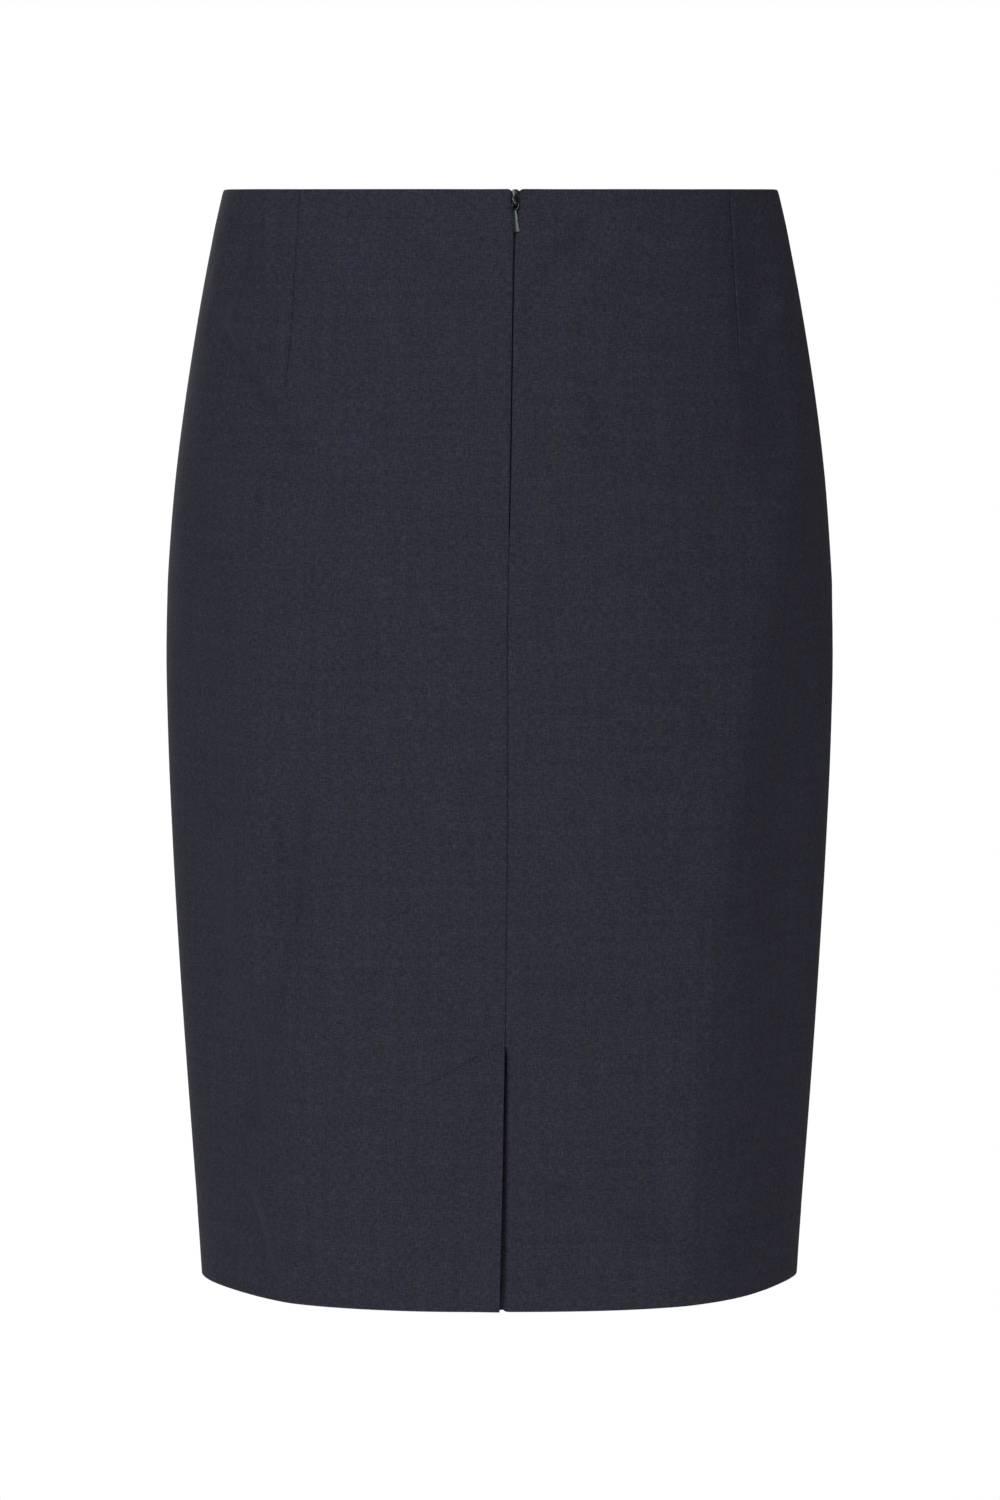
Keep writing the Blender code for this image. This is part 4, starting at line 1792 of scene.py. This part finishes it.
def smooth_loop(
    corners: Sequence[tuple[float, float]], passes: int = 2
) -> list[tuple[float, float]]:
    """Cuts the corners off a closed outline again and again, which rounds it.

    Args:
        corners: The outline's corners.
        passes: How many times they are cut.

    Returns:
        The rounded outline.
    """
    points = [Vector(corner) for corner in corners]
    for _ in range(passes):
        cut = []
        for here, after in zip(points, points[1:] + points[:1]):
            cut += [here.lerp(after, 0.25), here.lerp(after, 0.75)]
        points = cut
    return [(p.x, p.y) for p in points]


def mirrored(half: Sequence[tuple[float, float]]) -> list[tuple[float, float]]:
    """A closed outline from its right half, which runs from top to bottom."""
    return list(half) + [(-u, v) for u, v in reversed(half)]


@dataclass
class ConcealedZip:
    """The concealed zip: two tapes, interlocked coils, and a slider with its pull.

    Its frame stands at the pull's hinge: x along the bar, y into the skirt and z up the cloth.
    """

    form: SkirtForm
    finishes: Finishes
    pivot_drop: float = 0.0079
    pivot_stands_off: float = 0.0013
    tape_width: float = 0.012
    tape_thickness: float = 0.0005
    tape_depth: float = 0.0017
    tape_gap: float = 0.00006
    tape_open: float = 0.00095
    tape_at_nose: float = 0.0021
    # How softly the tapes close past the slider's neck and past its nose, and where.
    neck_end: tuple[float, float] = (0.0012, 0.0150)
    nose_end: tuple[float, float] = (0.0005, 0.0055)
    tape_top: float = 0.0008
    tape_end: float = 0.196
    # The tapes' rows lie closer together down to this drop, beside the slider.
    tape_fine_end: float = 0.018
    tape_fine_step: float = 0.0008
    tape_step: float = 0.0024
    tape_columns: tuple[float, ...] = (
        0, 0.0001, 0.00025, 0.001, 0.003, 0.006, 0.009, 0.0118, 0.012,
    )
    coil_top: float = 0.0125
    coil_end: float = 0.189
    coil_pitch: float = 0.0011
    coil_reach: float = 0.00078
    coil_height: float = 0.00042
    # Each loop's middle and half width as shares of its reach, so that the two rows interlock.
    coil_centre: float = 0.9
    coil_over: float = 1.1
    coil_skew: float = 0.00006
    wire_radius: float = 0.00020
    pull_thickness: float = 0.0010
    bar_radius: float = 0.00045
    tab_start: float = 0.0031
    tab_end: float = 0.0157
    tab_narrow: float = 0.00112
    tab_wide: float = 0.00184
    tab_corner: float = 0.0008
    rim: float = 0.00036
    rim_height: float = 0.00018
    dish: float = 0.00010
    pull_lean: float = math.radians(4.0)
    tab_shift: float = -0.0006
    rim_slope: float = 0.00005
    tab_edge: float = 0.00016
    # Outlines as (across, up) points; the body's and the nose's are their right halves.
    body_outline: tuple[tuple[float, float], ...] = (
        (0.0010, 0.0044), (0.0023, 0.0030), (0.0025, 0.0004), (0.0020, -0.0024),
    )
    nose_outline: tuple[tuple[float, float], ...] = (
        (0.0008, 0.0078), (0.0018, 0.0074), (0.0017, 0.0056), (0.0008, 0.0022),
    )
    # The bridge's outline is (inwards, up), and it has a round window for the pull's bar.
    bridge_outline: tuple[tuple[float, float], ...] = (
        (0.0050, 0.0060), (0.0018, 0.0060), (0.0009, 0.0046), (-0.0001, 0.0032),
        (-0.0009, 0.0020), (-0.00145, 0.0007), (-0.00145, -0.0006), (-0.0008, -0.0015),
        (0.0012, -0.0018), (0.0050, -0.0012),
    )
    # Where each of these plates starts and ends, and the radius of its edges.
    body_span: tuple[float, float, float] = (0.0044, 0.0071, 0.0004)
    nose_span: tuple[float, float, float] = (0.0012, 0.0046, 0.0003)
    bridge_span: tuple[float, float, float] = (-0.00068, 0.00068, 0.0002)
    window_radius: float = 0.00085
    # One arm of the eye, from the bar to the tab: (across, inwards, up, radius), and how much
    # of the way from the bridge's middle to the tab's root it has gone.
    arm_points: tuple[tuple[float, float, float, float, float], ...] = (
        (0.00152, -0.00002, 0.00015, 0.00050, 0.0),
        (0.00164, -0.00004, -0.0006, 0.00070, 0.0),
        (0.00162, -0.00004, -0.0014, 0.00072, 0.1),
        (0.00150, -0.00002, -0.0022, 0.00060, 0.3),
        (0.00086, 0.0, -0.0030, 0.00046, 0.6),
        (0.0, 0.0, -0.0035, 0.00036, 1.0),
    )
    root_half: float = 0.00055
    bar_half: float = 0.0017

    def __post_init__(self) -> None:
        """Works out the frames of the slider and of the pull on its hinge."""
        x = float(self.form.seam_x(self.pivot_drop)[0])
        self.frame = self.form.frame_at(Face.BACK, x, self.pivot_drop, self.pivot_stands_off)
        self.pull_frame = self.frame @ Matrix.Rotation(-self.pull_lean, 4, "Y")

    def part_at_slider(self, drop: float) -> float:
        """How far each tape stands from the middle: apart round the slider's neck, then closed.

        Args:
            drop: The drop.

        Returns:
            The distance.
        """
        at_neck = Ledge(self.tape_open - self.tape_gap, *self.neck_end).at(drop)
        at_nose = Ledge(self.tape_at_nose - self.tape_open, *self.nose_end).at(drop)
        return self.tape_gap + at_neck + at_nose

    def tape(self, side: int) -> bpy.types.Object:
        """One tape, sewn behind its panel; side is -1 for the left and 1 for the right.

        Args:
            side: -1 for the left tape and 1 for the right.

        Returns:
            The tape.
        """
        form = self.form
        fine_end = self.tape_fine_end
        fine = np.arange(self.tape_top, fine_end, self.tape_fine_step)
        drops = np.append(fine, np.arange(fine_end, self.tape_end, self.tape_step))
        across = np.array(self.tape_columns)
        rows, level = [], []
        for drop in drops:
            places = sorted(form.seam_x(drop) + side * (self.part_at_slider(drop) + across))
            rows.append([form.place(Face.BACK, x, drop) for x in places])
            level.append(form.level_normals(form.section(drop), np.array(rows[-1])))
        points = np.array(rows)
        along = across if side > 0 else self.tape_width - across[::-1]
        from_start = np.broadcast_to(along, points.shape[:2])
        drop_at = np.broadcast_to(drops[:, None], points.shape[:2])
        grid = ClothGrid(
            points=points,
            level=np.array(level),
            drop=drop_at,
            from_start=from_start,
            from_end=self.tape_width - from_start,
            from_dart=from_start,
            present=np.ones((len(drops) - 1, len(across) - 1), bool),
        )
        return rounded_shell(
            f"zip_tape_{'left' if side < 0 else 'right'}_woven",
            grid,
            form_relief(form, points) - self.tape_depth,
            np.full(from_start.shape, self.tape_thickness),
            (grid.from_start, grid.from_end),
            np.stack([from_start, -drop_at], axis=2),
            self.finishes.tape,
            self.tape_thickness / 2,
        )

    def coils(self) -> bpy.types.Object:
        """The two closed coils, loop by loop, with the loops of one between those of the other.

        Returns:
            The coils, as one piece.
        """
        parts = MeshParts()
        angle = np.arange(12) * math.pi / 6
        depth = self.tape_depth + self.tape_thickness + self.coil_height + self.wire_radius
        count = int((self.coil_end - self.coil_top) / self.coil_pitch * 2)
        for index in range(count):
            side = 1 if index % 2 else -1
            drop = self.coil_top + index * self.coil_pitch / 2
            x = float(self.form.seam_x(drop)[0])
            frame = self.form.frame_at(Face.BACK, x, drop, -depth)
            loop = np.stack(
                [
                    self.coil_reach * (side * self.coil_centre + self.coil_over * np.cos(angle)),
                    self.coil_height * np.sin(angle),
                    self.coil_skew * np.sin(angle),
                ],
                axis=1,
            )
            parts.tube(moved(frame, loop), self.wire_radius, 6, ring=True)
        return parts.build("zip_coils", self.finishes.coil)

    def slider(self) -> list[bpy.types.Object]:
        """The slider: a body with side flanges, a nose and the bridge that holds the pull.

        Returns:
            Its pieces.
        """
        frame, zinc = self.frame, self.finishes.zinc
        body = smooth_loop(mirrored(self.body_outline))
        nose = smooth_loop(mirrored(self.nose_outline))
        angle = np.linspace(0, 2 * math.pi, 17)[:-1]
        window = [tuple(self.window_radius * np.array([math.cos(a), math.sin(a)])) for a in angle]
        return [
            rounded_plate("slider_body", body, *self.body_span, frame, zinc),
            rounded_plate("slider_nose", nose, *self.nose_span, frame, zinc),
            rounded_plate(
                "slider_bridge", smooth_loop(self.bridge_outline), *self.bridge_span, frame, zinc,
                holes=[window], edge_on=True,
            ),
        ]

    def tab(self) -> bpy.types.Object:
        """The pull's tab: a hollow face in a low rim, wider towards its rounded end.

        Returns:
            The tab.
        """
        half = self.pull_thickness / 2
        ends = np.array([0.0, 0.00004, 0.00012, 0.00024, 0.0004, 0.0006, 0.0009])
        long = self.tab_end - self.tab_start
        down = spaced(np.array([long]), ends, ends, 20)[0]
        across = np.array([0.0, 0.15, 0.3, 0.45, 0.58, 0.68, 0.76, 0.85, 0.93, 0.98, 1.0])
        across = np.concatenate([-across[:0:-1], across])
        wide = self.tab_narrow + (self.tab_wide - self.tab_narrow) * down / long
        near = np.minimum(down, long - down)
        corner = np.clip(self.tab_corner - near, 0, None)
        wide = wide - self.tab_corner + np.sqrt(self.tab_corner**2 - corner**2)
        u = wide[:, None] * across[None, :]
        from_edge = np.minimum(wide[:, None] - np.abs(u), near[:, None])
        inside = 1 / (1 + np.exp((self.rim - from_edge) / self.rim_slope))
        hollow = inside * (self.rim_height + self.dish * (1 - np.abs(across)[None, :]))
        front = -half + half * rounded(from_edge, self.tab_edge) + hollow
        v = np.broadcast_to(-(self.tab_start + down)[:, None], u.shape)
        outer, inner = (
            moved(self.pull_frame, np.stack([u + self.tab_shift, w, v], axis=2))
            for w in (front, np.full(u.shape, half * 0.9))
        )
        present = np.ones((u.shape[0] - 1, u.shape[1] - 1), bool)
        grain = np.stack([u, v], axis=2)
        return ClothShell(outer, inner, present).build("pull_tab", grain, self.finishes.zinc)

    def pull(self) -> list[bpy.types.Object]:
        """The pull: its bar, an eye that goes round the bridge, and its tab.

        Returns:
            Its pieces.
        """
        bars = MeshParts()
        bar = [(u, 0, 0) for u in np.linspace(-self.bar_half, self.bar_half, 7)]
        bars.tube(moved(self.pull_frame, bar), self.bar_radius * 0.95, 12, ring=False)
        for side in (-1, 1):
            root = self.tab_shift + side * self.root_half
            arm = [(side * u + share * root, w, v) for u, w, v, _, share in self.arm_points]
            radii = [point[3] for point in self.arm_points]
            bars.tube(moved(self.pull_frame, arm), radii, 10, ring=False)
        return [bars.build("pull_eye", self.finishes.zinc), self.tab()]


@dataclass
class Stitching:
    """The threads that show: the seam's, the slanting row over the vent and the hem's."""

    form: SkirtForm
    sizes: ClothSizes
    finishes: Finishes
    front: BVHTree
    back: BVHTree
    search_reach: float = 0.006
    side_clearance: float = 0.020
    dive: float = 0.00030
    proud: float = 0.3
    seam_top: float = 0.198
    seam_end: float = 0.4555
    seam_pitch: float = 0.0036
    seam_length: float = 0.0011
    thread_radius: float = 0.00014
    slant_radius: float = 0.00026
    slant_length: float = 0.0017
    hem_pitch: float = 0.0062
    hem_reach: float = 0.0034
    seam_side: float = 0.0005
    seam_lean: float = 0.10
    slant_lean: float = 1.0
    hem_lean: float = 0.7

    def bar(
        self,
        parts: MeshParts,
        cloth: BVHTree,
        at: Matrix,
        lean: float,
        length: float,
        radius: float,
    ) -> None:
        """Adds one stitch: a short bar of thread on the cloth whose ends go into it.

        Args:
            parts: Where it goes.
            cloth: The cloth that it lies on.
            at: The frame on the form where it lies; its y runs into the cloth.
            lean: Its angle from level.
            length: Its length.
            radius: The thread's radius.
        """
        inward = at.to_3x3().col[1]
        start = at.translation - inward * self.search_reach
        found = cloth.ray_cast(start, inward, 2 * self.search_reach)[0]
        frame = at.copy()
        frame.translation = (found or at.translation) - inward * radius * self.proud
        share = np.linspace(-0.5, 0.5, 7)
        dive = self.dive * (2 * np.abs(share)) ** 3
        path = np.stack(
            [share * length * math.cos(lean), dive, share * length * math.sin(lean)], axis=1
        )
        parts.tube(moved(frame, path), radius, 6, ring=False)

    def seam(self, cloth: BVHTree) -> bpy.types.Object:
        """The stitches that show across the centre back seam.

        Args:
            cloth: The surface that they lie on.

        Returns:
            The stitches, as one piece.
        """
        drops = np.arange(self.seam_top, self.seam_end, self.seam_pitch)
        places = [(-self.seam_side, drop) for drop in drops]
        thread = (self.seam_lean, self.seam_length, self.thread_radius)
        return self.row("seam_stitches", cloth, places, thread)

    def vent_row(self, cloth: BVHTree, places: Sequence[tuple[float, float]]) -> bpy.types.Object:
        """The slanting row that holds the vent's underlap to the left back, on its surface."""
        thread = (self.slant_lean, self.slant_length, self.slant_radius)
        return self.row("vent_stitches", cloth, places, thread)

    def row(
        self,
        name: str,
        cloth: BVHTree,
        places: Sequence[tuple[float, float]],
        thread: tuple[float, float, float],
    ) -> bpy.types.Object:
        """Makes stitches beside the centre back.

        Args:
            name: The piece's name.
            cloth: The surface that they lie on.
            places: How far each lies out from the seam to the left, and its drop.
            thread: Their lean, their length and the thread's radius.

        Returns:
            The stitches, as one piece.
        """
        parts = MeshParts()
        for out, drop in places:
            x = float(self.form.seam_x(drop)[0]) - out
            self.bar(parts, cloth, self.form.frame_at(Face.BACK, x, drop), *thread)
        return parts.build(name, self.finishes.thread)

    def hem(self) -> bpy.types.Object:
        """The catch stitches that hold the hem's turning inside, all round.

        Returns:
            The stitches, as one piece.
        """
        parts = MeshParts()
        drop = self.form.length - self.sizes.hem_turn
        outline = self.form.outline(self.form.section(drop), -math.pi, math.pi)
        length = run_along(outline)
        cloths = {Face.BACK: self.back, Face.FRONT: self.front}
        for place in np.arange(0, length[-1], self.hem_pitch):
            x, y = (float(np.interp(place, length, outline[:, k])) for k in (0, 1))
            if abs(y) < self.side_clearance:
                continue
            face = Face.BACK if y < 0 else Face.FRONT
            at = self.form.frame_at(face, x, drop) @ Matrix.Rotation(math.pi, 4, "Z")
            lean = self.hem_lean if int(place / self.hem_pitch) % 2 else -self.hem_lean
            self.bar(parts, cloths[face], at, lean, self.hem_reach, self.thread_radius)
        return parts.build("hem_stitches", self.finishes.thread)


# ---------------------------------------------------------------------------------------------
# Studio
# ---------------------------------------------------------------------------------------------


@dataclass(frozen=True)
class Studio:
    """A pale floor, soft light and the camera, level with the waist and tipped a little down."""

    camera_distance: float = 3.2
    camera_tilt: float = 5.50
    lens: float = 139.9
    floor_drop: float = 1.6
    floor_radius: float = 1.6
    floor_sides: int = 96
    key_power: float = 90.0
    ambient: float = 0.34
    # The fill stands behind, so its share of the key's power also lights the far side.
    key_place: tuple[float, float, float] = (-0.86, -3.1, 1.2)
    key_size: float = 1.3
    fill_place: tuple[float, float, float] = (-1.30, 2.9, 1.1)
    fill_size: float = 1.6
    fill_share: float = 0.74

    def build(self, finishes: Finishes) -> None:
        """Makes the floor, the lights, the surroundings and the camera.

        Args:
            finishes: The finishes.
        """
        self._floor(finishes)
        self._light("key_light", self.key_place, self.key_size, self.key_power)
        self._light("far_fill", self.fill_place, self.fill_size, self.key_power * self.fill_share)
        self._surroundings()
        self._camera()

    def _floor(self, finishes: Finishes) -> None:
        """Makes the round floor below the skirt.

        Args:
            finishes: The finishes.
        """
        work = bmesh.new()
        bmesh.ops.create_circle(
            work, cap_ends=True, radius=self.floor_radius, segments=self.floor_sides
        )
        mesh = bpy.data.meshes.new("studio_floor")
        work.to_mesh(mesh)
        work.free()
        mesh.materials.append(finishes.paper)
        floor = link(bpy.data.objects.new("studio_floor", mesh))
        floor.location.z = -self.floor_drop

    @staticmethod
    def _light(name: str, place: tuple[float, float, float], size: float, power: float) -> None:
        """Makes a square soft light aimed at the middle of the skirt.

        Args:
            name: The light's name.
            place: Where it stands.
            size: The length of its sides.
            power: Its power, in watts.
        """
        data = bpy.data.lights.new(name, "AREA")
        data.shape = "SQUARE"
        data.size = size
        data.energy = power
        light = link(bpy.data.objects.new(name, data))
        light.location = place
        aim = Vector((0, 0, -AIM_DROP)) - Vector(place)
        light.rotation_euler = aim.to_track_quat("-Z", "Y").to_euler()

    def _surroundings(self) -> None:
        """Lights the skirt softly from all round, before a white that the camera sees."""
        world = bpy.data.worlds.new("white_studio")
        bpy.context.scene.world = world
        world.use_nodes = True
        nodes, links = world.node_tree.nodes, world.node_tree.links
        background = nodes["Background"]
        seen = nodes.new("ShaderNodeLightPath")
        strength = nodes.new("ShaderNodeMapRange")
        strength.inputs["To Min"].default_value = self.ambient
        strength.inputs["To Max"].default_value = 1.0
        links.new(seen.outputs["Is Camera Ray"], strength.inputs["Value"])
        links.new(strength.outputs["Result"], background.inputs["Strength"])
        background.inputs["Color"].default_value = WHITE

    def _camera(self) -> None:
        """Makes the camera."""
        data = bpy.data.cameras.new("camera")
        data.lens = self.lens
        data.clip_start = 0.05
        camera = link(bpy.data.objects.new("camera", data))
        camera.location = (0.0, -self.camera_distance, 0.0)
        camera.rotation_euler = (math.radians(90 - self.camera_tilt), 0.0, 0.0)
        bpy.context.scene.camera = camera


def dress_scene() -> None:
    """Sets how colours are shown, so that white paper stays white."""
    view = bpy.context.scene.view_settings
    view.view_transform = "Standard"
    view.look = "None"


def surface_of(piece: bpy.types.Object) -> BVHTree:
    """A piece's surface, to find points on."""
    mesh = piece.data
    return BVHTree.FromPolygons([v.co for v in mesh.vertices], [p.vertices for p in mesh.polygons])


def settle(piece: bpy.types.Object, body: str, node: str | None = None) -> None:
    """Gives a finished piece its body and the node that it replaces, and reports it.

    Args:
        piece: The piece.
        body: The body that it rides on.
        node: The frame's node that it replaces, if any.
    """
    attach(piece, body)
    if node:
        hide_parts(node)
    LOG.info("%s rides on %s, %d faces", piece.name, body, len(piece.data.polygons))


def main() -> None:
    """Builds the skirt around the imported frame."""
    logging.basicConfig(level=logging.INFO, format="%(name)s: %(message)s")
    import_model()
    dress_scene()
    form, sizes, vent = SkirtForm(), ClothSizes(), VentSizes()
    finishes = Finishes()
    left_dart = Dart(top_x=0.1074, tip_x=0.1137, tip_drop=0.112)
    right_dart = Dart(top_x=0.1245, tip_x=0.1295, tip_drop=0.095)
    front_dart = Dart(top_x=0.0850, tip_x=0.0900, tip_drop=0.090)

    left_back = LeftBack(form, sizes, left_dart, vent, -1)
    # Each panel tapers, so its area is less than its width times its length; the right back's
    # width and area hold the underlap too.
    cloth = (
        (FrontPanel(form, sizes, front_dart), "front_panel", (0.478, 0.603), 0.276),
        (left_back, "back_left_panel", (0.250, 0.603), 0.1436),
        (RightBack(form, sizes, right_dart, vent, 1), "back_right_panel", (0.265, 0.603), 0.1443),
    )
    surfaces: list[BVHTree] = []
    for panel, node, flat, area in cloth:
        piece = panel.build(finishes)
        settle(piece, "skirt", node)
        surfaces.append(surface_of(piece))

    zip_maker = ConcealedZip(form, finishes)
    for side, node in ((-1, "zip_tape_left"), (1, "zip_tape_right")):
        tape = zip_maker.tape(side)
        settle(tape, "skirt", node)
    settle(zip_maker.coils(), "skirt", "zip_chain")
    for piece in zip_maker.slider():
        settle(piece, "skirt", "zip_slider")
    for piece in zip_maker.pull():
        settle(piece, "pull", "zip_pull")

    front, left, right = surfaces
    stitching = Stitching(form, sizes, finishes, front=front, back=left)
    places = left_back.stitch_places()
    for piece in (stitching.seam(right), stitching.vent_row(left, places), stitching.hem()):
        settle(piece, "skirt")
    Studio().build(finishes)


if __name__ == "__main__":
    main()
